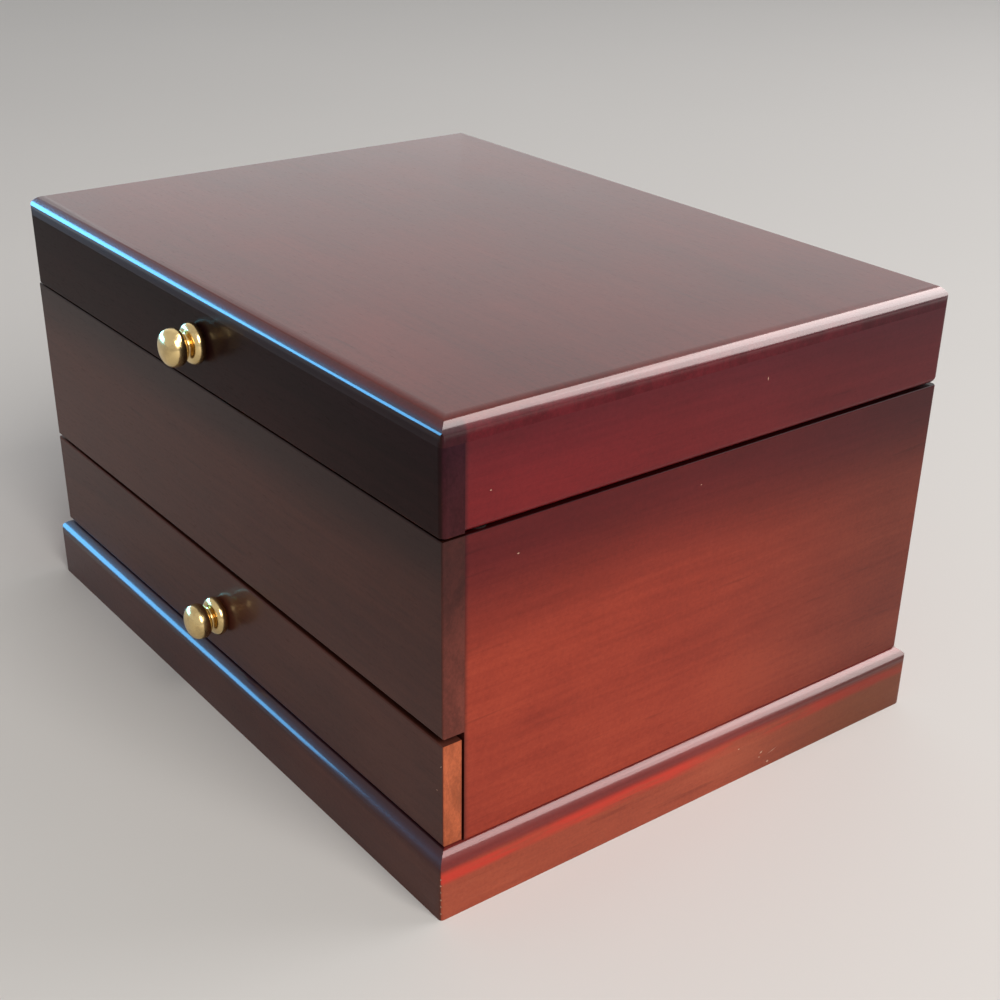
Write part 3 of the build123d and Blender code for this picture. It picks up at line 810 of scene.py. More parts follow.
# ---------------------------------------- modelling by hand
class Workpiece:
    """One mesh, shaped with the operators that a modeller uses by hand."""

    DOUBLED = 1e-6
    CLOTH_FRAMES = 20
    CLOTH_QUALITY = 6
    CLOTH_MASS = 0.15
    CLOTH_SPARE = 0.012

    def __init__(self, name: str, add: Callable, **settings: object) -> None:
        """Args:
            name: The piece's name.
            add: The operator that adds the primitive.
            settings: The operator's own settings.
        """
        bpy.ops.object.select_all(action="DESELECT")
        add(**settings)
        self.object = bpy.context.active_object
        self.object.name = name
        bpy.ops.object.transform_apply(location=True, rotation=True, scale=True)

    @classmethod
    def block(cls, name: str, low: Point, high: Point) -> Workpiece:
        """A squared block.

        Args:
            name: The piece's name.
            low: Its lowest corner.
            high: Its highest corner.

        Returns:
            The block.
        """
        middle = [(a + b) / 2 for a, b in zip(low, high)]
        size = [b - a for a, b in zip(low, high)]
        return cls(name, bpy.ops.mesh.primitive_cube_add, size=1, location=middle, scale=size)

    @classmethod
    def turned(
        cls, name: str, axis_point: Point, axis: Point, profile: Sequence[Point], steps: int
    ) -> Workpiece:
        """A piece spun on a lathe from a profile of points.

        Args:
            name: The piece's name.
            axis_point: A point on the axis.
            axis: The axis's direction.
            profile: Points in space from one end of the axis to the other.
            steps: Facets round the piece.

        Returns:
            The piece.
        """
        piece = cls(name, bpy.ops.mesh.primitive_plane_add, size=0.001, location=profile[0])
        with piece.editing("VERT"):
            bpy.ops.mesh.select_all(action="SELECT")
            bpy.ops.mesh.merge(type="CENTER")
            for before, after in zip(profile, profile[1:]):
                step = [b - a for a, b in zip(before, after)]
                bpy.ops.mesh.extrude_region_move(TRANSFORM_OT_translate={"value": step})
            bpy.ops.mesh.select_all(action="SELECT")
            bpy.ops.mesh.spin(steps=steps, angle=2 * math.pi, center=axis_point, axis=axis)
        piece.heal()
        return piece

    def activate(self) -> None:
        """Selects this piece alone."""
        bpy.ops.object.select_all(action="DESELECT")
        self.object.select_set(True)
        bpy.context.view_layer.objects.active = self.object

    @contextmanager
    def editing(self, mode: str = "EDGE") -> Iterator[None]:
        """Edit mode with nothing selected.

        Args:
            mode: What is selected: VERT, EDGE or FACE.
        """
        self.activate()
        bpy.ops.object.mode_set(mode="EDIT")
        bpy.ops.mesh.select_mode(type=mode)
        bpy.ops.mesh.select_all(action="DESELECT")
        yield
        bpy.ops.object.mode_set(mode="OBJECT")

    def pick_edges(self, wanted: Callable[[Vector, Vector], bool]) -> None:
        """Selects edges in edit mode.

        Args:
            wanted: Tests the two ends of an edge.
        """
        mesh = bmesh.from_edit_mesh(self.object.data)
        for edge in mesh.edges:
            edge.select_set(wanted(*(vertex.co for vertex in edge.verts)))
        bmesh.update_edit_mesh(self.object.data)

    def pick_faces(self, wanted: Callable[[Vector, Vector], bool]) -> None:
        """Selects faces in edit mode.

        Args:
            wanted: Tests the middle and the normal of a face.
        """
        mesh = bmesh.from_edit_mesh(self.object.data)
        for face in mesh.faces:
            face.select_set(wanted(face.calc_center_median(), face.normal))
        bmesh.update_edit_mesh(self.object.data)

    def round_edges(self, wanted: Callable[[Vector, Vector], bool], radius: float, segments: int) -> None:
        """Rounds the edges whose two ends pass a test.

        Args:
            wanted: The test.
            radius: The round's radius.
            segments: Facets across the round.
        """
        with self.editing("EDGE"):
            self.pick_edges(wanted)
            bpy.ops.mesh.bevel(offset=radius, segments=segments, profile=0.5, affect="EDGES")

    def saw(self, through: Point, away: Point) -> None:
        """Cuts the piece with a plane, takes off the side that away points to and closes the cut.

        Args:
            through: A point on the plane.
            away: The plane's normal.
        """
        with self.editing("VERT"):
            bpy.ops.mesh.select_all(action="SELECT")
            bpy.ops.mesh.bisect(
                plane_co=through, plane_no=away, use_fill=True, clear_inner=False, clear_outer=True
            )

    def modify(self, kind: str, **settings: object) -> None:
        """Adds a modifier and applies it.

        Args:
            kind: The modifier's type.
            settings: Its settings.
        """
        self.activate()
        bpy.ops.object.modifier_add(type=kind)
        modifier = self.object.modifiers[-1]
        for key, value in settings.items():
            setattr(modifier, key, value)
        bpy.ops.object.modifier_apply(modifier=modifier.name)

    def carve(self, cutter: Workpiece) -> None:
        """Takes another piece's shape out of this one and throws that piece away."""
        self.modify("BOOLEAN", operation="DIFFERENCE", object=cutter.object, solver="EXACT")
        bpy.data.objects.remove(cutter.object)

    def trim(self, form: Workpiece) -> None:
        """Keeps only what lies inside another piece's shape and throws that piece away."""
        self.modify("BOOLEAN", operation="INTERSECT", object=form.object, solver="EXACT")
        bpy.data.objects.remove(form.object)

    def copy(self, name: str, shift: Point = (0, 0, 0)) -> Workpiece:
        """A copy with its own mesh.

        Args:
            name: The copy's name.
            shift: How far it is moved.

        Returns:
            The copy.
        """
        made = self.object.copy()
        made.data = self.object.data.copy()
        made.name = name
        bpy.context.scene.collection.objects.link(made)
        for vertex in made.data.vertices:
            vertex.co += Vector(shift)
        twin = object.__new__(Workpiece)
        twin.object = made
        return twin

    def heal(self) -> None:
        """Merges doubled points and points every face outwards."""
        with self.editing("VERT"):
            bpy.ops.mesh.select_all(action="SELECT")
            bpy.ops.mesh.remove_doubles(threshold=self.DOUBLED)
            bpy.ops.mesh.normals_make_consistent(inside=False)

    def smooth(self, angle: float = 35.0) -> None:
        """Shades the piece smooth, up to an angle in degrees."""
        self.activate()
        bpy.ops.object.shade_smooth_by_angle(angle=math.radians(angle))

    def stuff(self, voxel: float, pressure: float, cap: float, pinned: Callable[[Vector], bool]) -> None:
        """Turns a plain form into stuffed fabric: an even skin, swollen by a cloth simulation.

        Args:
            voxel: Size of the skin's cells.
            pressure: Pressure of the stuffing.
            cap: The furthest that a point may move.
            pinned: Points that are glued down.
        """
        self.modify("REMESH", mode="VOXEL", voxel_size=voxel)
        mesh = self.object.data
        rest = [vertex.co.copy() for vertex in mesh.vertices]
        pins = self.object.vertex_groups.new(name="glued")
        pins.add([i for i, point in enumerate(rest) if pinned(point)], 1.0, "REPLACE")
        self.activate()
        bpy.ops.object.modifier_add(type="CLOTH")
        cloth = self.object.modifiers[-1]
        cloth.settings.vertex_group_mass = pins.name
        cloth.settings.quality = self.CLOTH_QUALITY
        cloth.settings.mass = self.CLOTH_MASS
        cloth.settings.use_pressure = True
        cloth.settings.uniform_pressure_force = pressure
        cloth.settings.shrink_min = -self.CLOTH_SPARE
        cloth.settings.effector_weights.gravity = 0
        cloth.point_cache.frame_end = self.CLOTH_FRAMES
        for frame in range(1, self.CLOTH_FRAMES + 1):
            bpy.context.scene.frame_set(frame)
        bpy.ops.object.modifier_apply(modifier=cloth.name)
        bpy.context.scene.frame_set(1)
        self.object.vertex_groups.clear()
        for vertex, start in zip(self.object.data.vertices, rest):
            move = vertex.co - start
            if move.length > cap:
                vertex.co = start + move.normalized() * cap
        self.modify("SUBSURF", levels=1, render_levels=1)
        self.smooth(60)

    def settle(self, body: str, finish: bpy.types.Material, slot: str, *nodes: str) -> None:
        """Gives the finished piece its material and its place in the model.

        Args:
            body: The body that it moves with.
            finish: Its material.
            slot: The record's material slot; not used.
            nodes: The construction nodes that it stands for.
        """
        self.object.data.materials.clear()
        self.object.data.materials.append(finish)
        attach(self.object, body)
        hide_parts(*nodes)
        faces = len(self.object.data.polygons)
        LOG.info("%-24s %6d faces, for %s", self.object.name, faces, ", ".join(nodes))


def near(a: float, b: float, slack: float = 1e-5) -> bool:
    """Whether two lengths are the same, give or take the slack."""
    return abs(a - b) < slack


def upright(a: Vector, b: Vector) -> bool:
    """Whether an edge stands upright."""
    return near(a.x, b.x) and near(a.y, b.y) and not near(a.z, b.z)


@dataclass
class Assembly:
    """A sub-assembly: it dresses construction nodes and builds pieces that stand for others."""

    frame: dict
    body: str = CASE

    def dress(self, node: str, finish: bpy.types.Material) -> None:
        """Gives a construction node its finish.

        Args:
            node: The node's name.
            finish: The material.
        """
        thing = self.frame["nodes"][node]
        if not thing.data.materials:
            thing.data.materials.append(finish)
        for slot in thing.material_slots:
            slot.material = finish
        LOG.info("%-24s dressed in %s", node, finish.name)


# ---------------------------------------- plinth
@dataclass
class Plinth(Assembly):
    """Four mitred lengths of moulding with a rounded upper edge."""

    stock: float = 10 * MM
    top_round: float = 5 * MM
    round_facets: int = 14
    rebate: float = 3 * MM
    rebate_depth: float = 4 * MM
    corner_ease: float = 3 * MM
    sharp_ease: float = 1 * MM
    mitre_gap: float = 0.08 * MM
    shadow: tuple[float, float] = (5.6 * MM, 3.2 * MM)
    shadow_tint: Colour = (0.50, 0.27, 0.44)
    # Depths below the top between which a brighter red band runs along the lower edge of the round.
    recoloured: tuple[float, float] = (7.8 * MM, 4.2 * MM)
    # Painted shade: the plinth's sides darken towards the back.
    darkening: tuple[float, float] = (-5 * MM, 74 * MM)
    darkening_tint: Colour = (0.42, 0.53, 0.42)
    relief: float = 0.06 * MM

    def build(self) -> None:
        """Models the whole ring as one moulding, then saws it into its four lengths."""
        shell = Shell.of("plinth_front", "plinth_back", "plinth_left", "plinth_right")
        x, y, z = shell.high
        ring = Workpiece.block("plinth_ring", shell.low, shell.high)
        ring.round_edges(lambda a, b: near(a.z, z) and near(b.z, z), self.top_round, self.round_facets)
        plan = Workpiece.block("plinth_plan", shell.low, shell.high)
        plan.round_edges(lambda a, b: upright(a, b) and a.x > 0 > a.y, self.sharp_ease, 4)
        plan.round_edges(
            lambda a, b: upright(a, b) and not (a.x > x - 2 * self.sharp_ease and a.y < 0),
            self.corner_ease,
            8,
        )
        ring.trim(plan)
        inner_x, inner_y = x - self.stock, y - self.stock
        below, above = -1 * MM, z + 1 * MM
        ring.carve(Workpiece.block("well", (-inner_x, -inner_y, below), (inner_x, inner_y, above)))
        wide_x, wide_y = inner_x + self.rebate, inner_y + self.rebate
        ledge = z - self.rebate_depth
        ring.carve(Workpiece.block("rebate", (-wide_x, -wide_y, ledge), (wide_x, wide_y, above)))
        runs = {"front": (0, -1), "back": (0, 1), "left": (-1, 0), "right": (1, 0)}
        for place, outward in runs.items():
            length = ring.copy(f"plinth_{place}_moulding")
            along = Vector((-outward[1], outward[0], 0))
            facing = Vector((*outward, 0))
            for end in (-1, 1):
                face_middle = Vector((facing.x * x, facing.y * y, 0))
                reach = Vector((along.x * (x - self.mitre_gap), along.y * (y - self.mitre_gap), 0))
                length.saw(face_middle + end * reach, along * end - facing)
            length.heal()
            length.smooth()
            finish = StainedWood(
                shell,
                SHADED_ESPRESSO if place == "front" else TAWNY,
                Grain.ACROSS if outward[1] else Grain.DEEP,
                0.31 * len(place),
                toners=(
                    Toner(Axis.Z, *(z - drop for drop in self.shadow), self.shadow_tint),
                    Toner(Axis.Y, *self.darkening, self.darkening_tint, facing=Axis.X),
                ),
                red_band=None if place == "front" else tuple(z - drop for drop in self.recoloured),
                nicks=PLINTH_NICKS[place],
                gloss=MOULDED,
                relief=self.relief,
            )
            length.settle(CASE, finish.material(f"plinth_{place}_finish"), "stained_wood", f"plinth_{place}")
        bpy.data.objects.remove(ring.object)


ALONG_Y, UPWARDS = (0, 1, 0), (0, 0, 1)
MITRE_CHIPS = (
    Nick((0.1178, -0.0883, 0.0131), 1.5 * MM, 0.55 * MM, (0, 0.2, 1)),
    Nick((0.1178, -0.0883, 0.0112), 1.1 * MM, 0.75 * MM, (0.2, 0, 1)),
    Nick((0.1178, -0.0883, 0.0091), 2.0 * MM, 0.50 * MM, UPWARDS),
    Nick((0.1178, -0.0883, 0.0066), 1.2 * MM, 0.70 * MM, (0, 0.3, 1)),
    Nick((0.1178, -0.0883, 0.0045), 1.7 * MM, 0.55 * MM, UPWARDS),
    Nick((0.1178, -0.0883, 0.0022), 1.0 * MM, 0.65 * MM, (0.3, 0, 1)),
)
PLINTH_NICKS: dict[str, tuple[Nick, ...]] = {
    "front": (Nick((0.0985, -0.0872, 0.0170), 1.2 * MM, 0.5 * MM, (1, 0, 0)), *MITRE_CHIPS),
    "back": (),
    "left": (),
    "right": (
        Nick((0.118, 0.0160, 0.0109), 0.9 * MM, 0.6 * MM, ALONG_Y),
        Nick((0.118, 0.0256, 0.0060), 1.6 * MM, 0.7 * MM, (0, 1, 0.6)),
        Nick((0.118, 0.0250, 0.0045), 0.8 * MM, 0.6 * MM, ALONG_Y),
        Nick((0.118, 0.0287, 0.0016), 1.3 * MM, 0.9 * MM, ALONG_Y),
        Nick((0.118, 0.0303, 0.0048), 4.6 * MM, 0.28 * MM, (0, 4.0, 1.2)),
        *MITRE_CHIPS,
    ),
}
BODY_NICKS = (
    Nick((0.115, -0.0636, 0.0970), 1.0 * MM, 0.45 * MM, ALONG_Y),
    Nick((0.115, -0.0050, 0.0990), 0.7 * MM, 0.35 * MM, ALONG_Y),
)
LID_NICKS = (
    Nick((0.115, 0.0158, 0.1231), 1.3 * MM, 0.40 * MM, UPWARDS),
    Nick((0.115, -0.0719, 0.1156), 0.7 * MM, 0.45 * MM, ALONG_Y),
)
DRAWER_NICKS = (
    Nick((0.1142, -0.0855, 0.0445), 1.4 * MM, 0.35 * MM, (1, 0, 1)),
    Nick((0.1124, -0.0855, 0.0366), 0.8 * MM, 0.40 * MM, (1, 0, 0)),
)


# ---------------------------------------- case
@dataclass
class Case(Assembly):
    """Side boards, back, fixed upper front, deck, underside and compartment floor."""

    # Painted shade: the sides and the back darken towards their top edge.
    side_shade: tuple[float, float] = (40 * MM, 4 * MM)
    side_tint: Colour = (0.33, 0.17, 0.42)
    side_ends: Colour = (0.125, 0.018, 0.011)
    # Painted shade on the upper front: its face and the end grain at its ends darken towards the top.
    front_shade: tuple[float, float] = (20 * MM, 2 * MM)
    front_tint: Colour = (0.38, 0.42, 0.50)
    front_end_shade: tuple[float, float] = (45 * MM, 6 * MM)
    front_end_tint: Colour = (0.32, 0.30, 0.36)
    front_ends: Colour = (0.120, 0.027, 0.018)
    # Rubbed edges of the upper front, in a colour darkened to go with its painted shade.
    front_rubbed_in_shade: Colour = (0.07, 0.018, 0.013)

    def build(self) -> None:
        """Dresses the boards of the case."""
        shell = Shell.of("case_side_left", "case_side_right", "upper_front")
        top = shell.high[2]
        # Painted shade: darker towards the top, and on the edges at the lid gap.
        shaded = Toner(Axis.Z, *(top - drop for drop in self.side_shade), self.side_tint)
        rim = gap_toner(top, -1)
        toners = (shaded, rim, *end_toners())
        for place, seed in (("left", 2.3), ("right", 0.0)):
            nicks = BODY_NICKS if place == "right" else ()
            finish = StainedWood(shell, RED, Grain.DEEP, seed, self.side_ends, toners, nicks)
            self.dress(f"case_side_{place}", finish.material(f"case_side_{place}_finish"))
        back = StainedWood(shell, RED, Grain.ACROSS, 4.1, toners=(shaded,))
        self.dress("case_back", back.material("case_back_finish"))
        # Painted shade: the upper front darker towards the top, on its ends and on its face, and on its edge
        # at the lid gap.
        toners = (
            Toner(Axis.Z, *(top - drop for drop in self.front_end_shade), self.front_end_tint, Axis.X),
            Toner(Axis.Z, *(top - drop for drop in self.front_shade), self.front_tint, Axis.Y),
            rim,
        )
        front = StainedWood(
            shell, SHADED_ESPRESSO, Grain.ACROSS, 1.3, self.front_ends, toners, rubbed=self.front_rubbed_in_shade
        )
        self.dress("upper_front", front.material("upper_front_finish"))
        for node in ("drawer_deck", "underside_board", "compartment_floor"):
            low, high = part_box(node)
            finish = Plywood(low.z, (high.z - low.z) / PLIES, 0.37 * PLIES)
            self.dress(node, finish.material(f"{node}_finish"))
        self.dress("drawer_stop_blocks", BareWood(Grain.ACROSS, 0.7).material("stop_block_finish"))


def end_toners(start: float = -25 * MM) -> tuple[Toner, Toner]:
    """Painted shade that darkens a side board towards the back, and a dark line along its joint with the
    front board.

    Args:
        start: Where along the depth it starts to darken.

    Returns:
        The two toners.
    """
    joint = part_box("upper_front")[1].y
    along_joint = Toner(Axis.Y, joint + 1.3 * MM, joint - 0.2 * MM, JOINT_SHADE)
    return Toner(Axis.Y, start, 86 * MM, BACK_SHADE), along_joint


def gap_toner(edge: float, inwards: int) -> Toner:
    """Painted shade on the edges of the boards where the lid meets the case.

    Args:
        edge: The edge's height.
        inwards: 1 where the boards are above the edge, and -1 where they are below it.

    Returns:
        The toner.
    """
    return Toner(Axis.Z, edge + inwards * 0.5 * MM, edge + inwards * 0.1 * MM, GAP_SHADE, Axis.Z)


@dataclass
class Compartment(Assembly):
    """Velvet lining and ring rolls of the upper compartment."""

    edge_round: float = 0.55 * MM
    rolls_in_all: int = 8
    roll_inset: float = 0.45 * MM
    roll_crown: float = 8.2 * MM
    roll_end: float = 1.5 * MM
    roll_glued: float = 1 * MM
    roll_voxel: float = 2.0 * MM
    roll_pressure: float = 5.0
    roll_cap: float = 0.8 * MM
    roll_fill: float = 0.8

    def build(self) -> None:
        """Builds the lining and the ring rolls."""
        velvet = Velvet().material("compartment_velvet")
        for place in ("floor", "front", "back", "left", "right"):
            lining(f"lining_{place}", CASE, velvet, self.edge_round)
        self.rolls()

    def rolls(self) -> None:
        """Stuffs one ring roll and lays its copies side by side."""
        low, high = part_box("ring_roll_1")
        inset = Vector((self.roll_inset, self.roll_inset, 0))
        roll = Workpiece.block("roll_pattern", low + inset, high - inset - Vector((0, 0, self.roll_inset)))
        top = high.z - self.roll_inset
        roll.round_edges(
            lambda a, b: near(a.z, top) and near(b.z, top) and not near(a.x, b.x), self.roll_crown, 8
        )
        roll.round_edges(lambda a, b: near(a.x, b.x) and abs(a.x) > high.x - 2 * MM, self.roll_end, 3)
        roll.stuff(
            self.roll_voxel, self.roll_pressure, self.roll_cap, lambda p: p.z < low.z + self.roll_glued
        )
        for number in range(1, self.rolls_in_all + 1):
            node = f"ring_roll_{number}"
            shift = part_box(node)[0] - low
            padded = roll.copy(f"{node}_padded", shift)
            finish = Velvet(0.17 * number).material(f"{node}_velvet")
            padded.settle(CASE, finish, "velvet", node)
        bpy.data.objects.remove(roll.object)


def lining(node: str, body: str, finish: bpy.types.Material, edge: float) -> None:
    """A thin card wrapped in velvet, with soft edges.

    Args:
        node: The construction node that it stands for.
        body: The body that it moves with.
        finish: Its material.
        edge: Radius of its edges.
    """
    low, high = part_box(node)
    card = Workpiece.block(f"{node}_velvet", low, high)
    thin = min(b - a for a, b in zip(low, high))
    card.round_edges(lambda a, b: True, min(edge, 0.45 * thin), 3)
    card.smooth(60)
    card.settle(body, finish, "velvet", node)


# ---------------------------------------- knobs
@dataclass
class Knob(Assembly):
    """A turned brass knob: a beaded collar, a waist and a flattened button."""

    node: str = "lid_knob"
    screw: str = "lid_knob_screw"
    bead: float = 3.9 * MM
    waist: float = 2.9 * MM
    button: float = 7.2 * MM
    button_radius: float = 5.4 * MM
    squareness: float = 0.84
    cove: float = 0.5 * MM
    bead_facets: int = 12
    button_facets: int = 30
    round_facets: int = 64

    def build(self) -> None:
        """Turns the knob and dresses its screw."""
        low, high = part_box(self.node)
        base = Vector((0, high.y, (low.z + high.z) / 2))
        profile = self.collar((high.x - low.x) / 2) + self.head(high.y - low.y)
        points = [base + Vector((p.x, -p.y, 0)) for p in profile]
        turned = Workpiece.turned(f"{self.node}_turned", base, (0, 1, 0), points, self.round_facets)
        turned.smooth(50)
        turned.settle(self.body, BRASS.material(f"{self.node}_brass"), "brass", self.node)
        self.dress(self.screw, ZINC_PLATE.material(f"{self.screw}_steel"))

    def collar(self, radius: float) -> list[Vector]:
        """Profile of the beaded collar, up to the waist.

        Args:
            radius: The collar's radius.

        Returns:
            Points, each a distance from the axis and one from the wood.
        """
        half = self.bead / 2
        middle = Vector((radius - half, half))
        bead = []
        for step in range(1, self.bead_facets + 1):
            turn = math.radians(-90 + 180 * step / self.bead_facets)
            bead.append(middle + half * Vector((math.cos(turn), math.sin(turn))))
        return [
            Vector((0, 0)),
            Vector((radius - half, 0)),
            *bead,
            Vector((self.waist + self.cove, self.bead)),
            Vector((self.waist + 0.24 * self.cove, self.bead + 0.3 * self.cove)),
            Vector((self.waist, self.bead + self.cove)),
        ]

    def head(self, reach: float) -> list[Vector]:
        """Profile of the button, from the waist to the middle of its face.

        Args:
            reach: How far the knob stands out from the wood.

        Returns:
            Points, each a distance from the axis and one from the wood.
        """
        middle = reach - self.button / 2
        start = -math.acos((self.waist / self.button_radius) ** (1 / self.squareness))
        profile = []
        for step in range(self.button_facets + 1):
            turn = start + (math.pi / 2 - start) * step / self.button_facets
            across = self.button_radius * max(math.cos(turn), 0.0) ** self.squareness
            out = math.copysign(abs(math.sin(turn)) ** self.squareness, turn) * self.button / 2
            profile.append(Vector((across, middle + out)))
        return profile


# ---------------------------------------- lid
@dataclass
class Lid(Assembly):
    """Top board with its rounded edge, four walls, a padded frame and a mirror."""

    body: str = LID
    top_round: float = 4.5 * MM
    round_facets: int = 14
    corner_ease: float = 1.6 * MM
    # Painted shade: the lid walls darken upwards from shade_from above their lower edge, and the sides
    # darken towards the back from darkening_from.
    shade_from: float = 4 * MM
    shade_tint: Colour = (0.62, 0.62, 0.98)
    darkening_from: float = -62 * MM
    front_ends: Colour = (0.036, 0.0075, 0.0095)
    side_ends: Colour = (0.070, 0.0065, 0.0070)
    top_ends: Colour = (0.085, 0.0060, 0.0100)
    top_strip_tint: Colour = (0.40, 0.85, 0.85)
    # Painted shade: the top board's front face darkened to go with the lid front.
    top_front_tint: Colour = (0.20, 0.36, 0.44)
    pad_inset: float = 0.35 * MM
    pad_edge: float = 1.3 * MM
    pad_glued: float = 0.6 * MM
    pad_voxel: float = 1.0 * MM
    pad_pressure: float = 3.0
    pad_cap: float = 0.7 * MM
    pad_fill: float = 0.7
    mirror_bevel: float = 6 * MM
    mirror_bevel_depth: float = 0.9 * MM

    def build(self) -> None:
        """Builds and dresses the lid."""
        shell = Shell.of("lid_top", "lid_front", "lid_side_left", "lid_side_right", "lid_back")
        self.top(shell)
        low = shell.low[Axis.Z]
        # Painted shade: the walls darker towards the top, and on their lower edge at the lid gap.
        shaded = Toner(Axis.Z, low + self.shade_from, shell.high[Axis.Z], self.shade_tint)
        toners = (shaded, gap_toner(low, 1))
        for number, place in enumerate(("front", "back", "side_left", "side_right")):
            front, side = place == "front", place.startswith("side")
            finish = StainedWood(
                shell,
                SHADED_BLACK if front else CRIMSON,
                Grain.DEEP if side else Grain.ACROSS,
                3.1 + 0.9 * number,
                toners=(*toners, *end_toners(self.darkening_from)) if side else toners,
                end_tone=self.side_ends if side else self.front_ends,
                gloss=DULLED if front else SATIN,
                nicks=LID_NICKS if place == "side_right" else (),
            )
            self.dress(f"lid_{place}", finish.material(f"lid_{place}_finish"))
        self.pad()
        self.mirror()

    def top(self, shell: Shell) -> None:
        """Top board, its edge rounded with a cutter and its corners eased by hand.

        Args:
            shell: The lid's outer box.
        """
        low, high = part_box("lid_top")
        board = Workpiece.block("lid_top_board", low, high)
        board.round_edges(
            lambda a, b: near(a.z, high.z) and near(b.z, high.z), self.top_round, self.round_facets
        )
        plan = Workpiece.block("lid_plan", low, high)
        plan.round_edges(upright, self.corner_ease, 6)
        board.trim(plan)
        board.heal()
        board.smooth()
        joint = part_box("lid_front")[1].y
        # The first toner carries the front board's dark end-grain strip up the board's end; the other two
        # are painted shade, on the front face and towards the back.
        toners = (
            Toner(Axis.Y, joint + 1.3 * MM, joint - 0.2 * MM, self.top_strip_tint, Axis.X),
            Toner(Axis.Y, low.y + 1.2 * MM, low.y + 0.2 * MM, self.top_front_tint, Axis.Y),
            Toner(Axis.Y, -25 * MM, 86 * MM, BACK_SHADE, Axis.X),
        )
        finish = StainedWood(shell, MAROON, Grain.ACROSS, 5.7, self.top_ends, toners, gloss=POLISHED)
        board.settle(LID, finish.material("lid_top_finish"), "stained_wood", "lid_top")

    def pad(self) -> None:
        """Padded velvet frame round the mirror."""
        low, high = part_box("lid_padded_frame")
        hole_low, hole_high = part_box("lid_mirror")
        inset = Vector((self.pad_inset,) * 3)
        frame = Workpiece.block("lid_frame_padded", low + inset, high - Vector((inset.x, inset.y, 0)))
        reach = Vector((self.pad_inset, self.pad_inset, 2 * MM))
        frame.carve(Workpiece.block("opening", hole_low - reach, hole_high + reach))
        frame.heal()
        frame.round_edges(
            lambda a, b: near(a.z, low.z + inset.z) and near(b.z, low.z + inset.z), self.pad_edge, 4
        )
        frame.stuff(
            self.pad_voxel, self.pad_pressure, self.pad_cap, lambda p: p.z > high.z - self.pad_glued
        )
        frame.settle(LID, Velvet(0.9).material("lid_frame_velvet"), "velvet", "lid_padded_frame")

    def mirror(self) -> None:
        """Mirror with a ground bevel round its face, which looks down when the lid is shut."""
        low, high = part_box("lid_mirror")
        glass = Workpiece.block("lid_mirror_bevelled", low, high)
        with glass.editing("FACE"):
            glass.pick_faces(lambda middle, normal: normal.z < -0.9)
            bpy.ops.mesh.inset(thickness=self.mirror_bevel)
        with glass.editing("VERT"):
            glass.pick_edges(
                lambda a, b: all(near(p.z, low.z) and self.at_rim(p, low, high) for p in (a, b))
            )
            bpy.ops.transform.translate(value=(0, 0, self.mirror_bevel_depth))
        glass.settle(LID, SILVERING.material("mirror_silver"), "mirror_glass", "lid_mirror")

    @staticmethod
    def at_rim(point: Vector, low: Vector, high: Vector) -> bool:
        """Whether a point stands on the rim of a box, seen from above."""
        return any(near(point[i], low[i]) or near(point[i], high[i]) for i in (0, 1))


# ---------------------------------------- hinges
@dataclass
class Hinges(Assembly):
    """Two brass stop hinges with their pins and screws."""

    def build(self) -> None:
        """Dresses the hinges."""
        brass = BRASS.material("hinge_brass")
        for place in ("left", "right"):
            for part in ("hinge_case_leaf", "hinge_lid_leaf", "hinge_pin"):
                self.dress(f"{part}_{place}", brass)
        for node in ("hinge_screws_case", "hinge_screws_lid"):
            self.dress(node, brass)


# ---------------------------------------- drawer
@dataclass
class Drawer(Assembly):
    """Drawer front, box, bottom, divider and velvet lining."""

    body: str = DRAWER
    edge_round: float = 0.4 * MM
    front_ends: Colour = (0.37, 0.088, 0.034)

    def build(self) -> None:
        """Builds and dresses the drawer."""
        shell = Shell.of("drawer_front")
        front = StainedWood(shell, SHADED_ESPRESSO, Grain.ACROSS, 7.7, self.front_ends, nicks=DRAWER_NICKS)
        self.dress("drawer_front", front.material("drawer_front_finish"))
        for place, grain in (("side_left", Grain.DEEP), ("side_right", Grain.DEEP), ("back", Grain.ACROSS)):
            sanded = BareWood(grain, 1.1 * len(place))
            self.dress(f"drawer_{place}", sanded.material(f"drawer_{place}_finish"))
        low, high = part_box("drawer_bottom")
        plywood = Plywood(low.z, (high.z - low.z) / PLIES)
        self.dress("drawer_bottom", plywood.material("drawer_bottom_finish"))
        velvet = Velvet(2.2).material("drawer_velvet")
        for place in ("floor", "front", "back", "left", "right"):
            lining(f"drawer_lining_{place}", DRAWER, velvet, self.edge_round)
        self.dress("drawer_divider", Velvet(2.9).material("divider_velvet"))


# ---------------------------------------- felt
@dataclass
class FeltParts(Assembly):
    """Felt under the case and the two bumpers below the lid."""

    edge: float = 0.25 * MM
    # Painted shade in the lid gap: the bumpers' felt is darker and has no sheen.
    shaded_bumper_felt: Felt = Felt((0.010, 0.006, 0.006), (0.026, 0.014, 0.013), 0.0)

    def build(self) -> None:
        """Builds the felt sheet and dresses the bumpers."""
        felt = Felt().material("base_felt_finish")
        low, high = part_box("base_felt")
        sheet = Workpiece.block("base_felt_sheet", low, high)
        sheet.round_edges(lambda a, b: True, self.edge, 2)
        sheet.smooth(60)
        sheet.settle(CASE, felt, "felt", "base_felt")
        self.dress("lid_bumpers", self.shaded_bumper_felt.material("bumper_felt"))


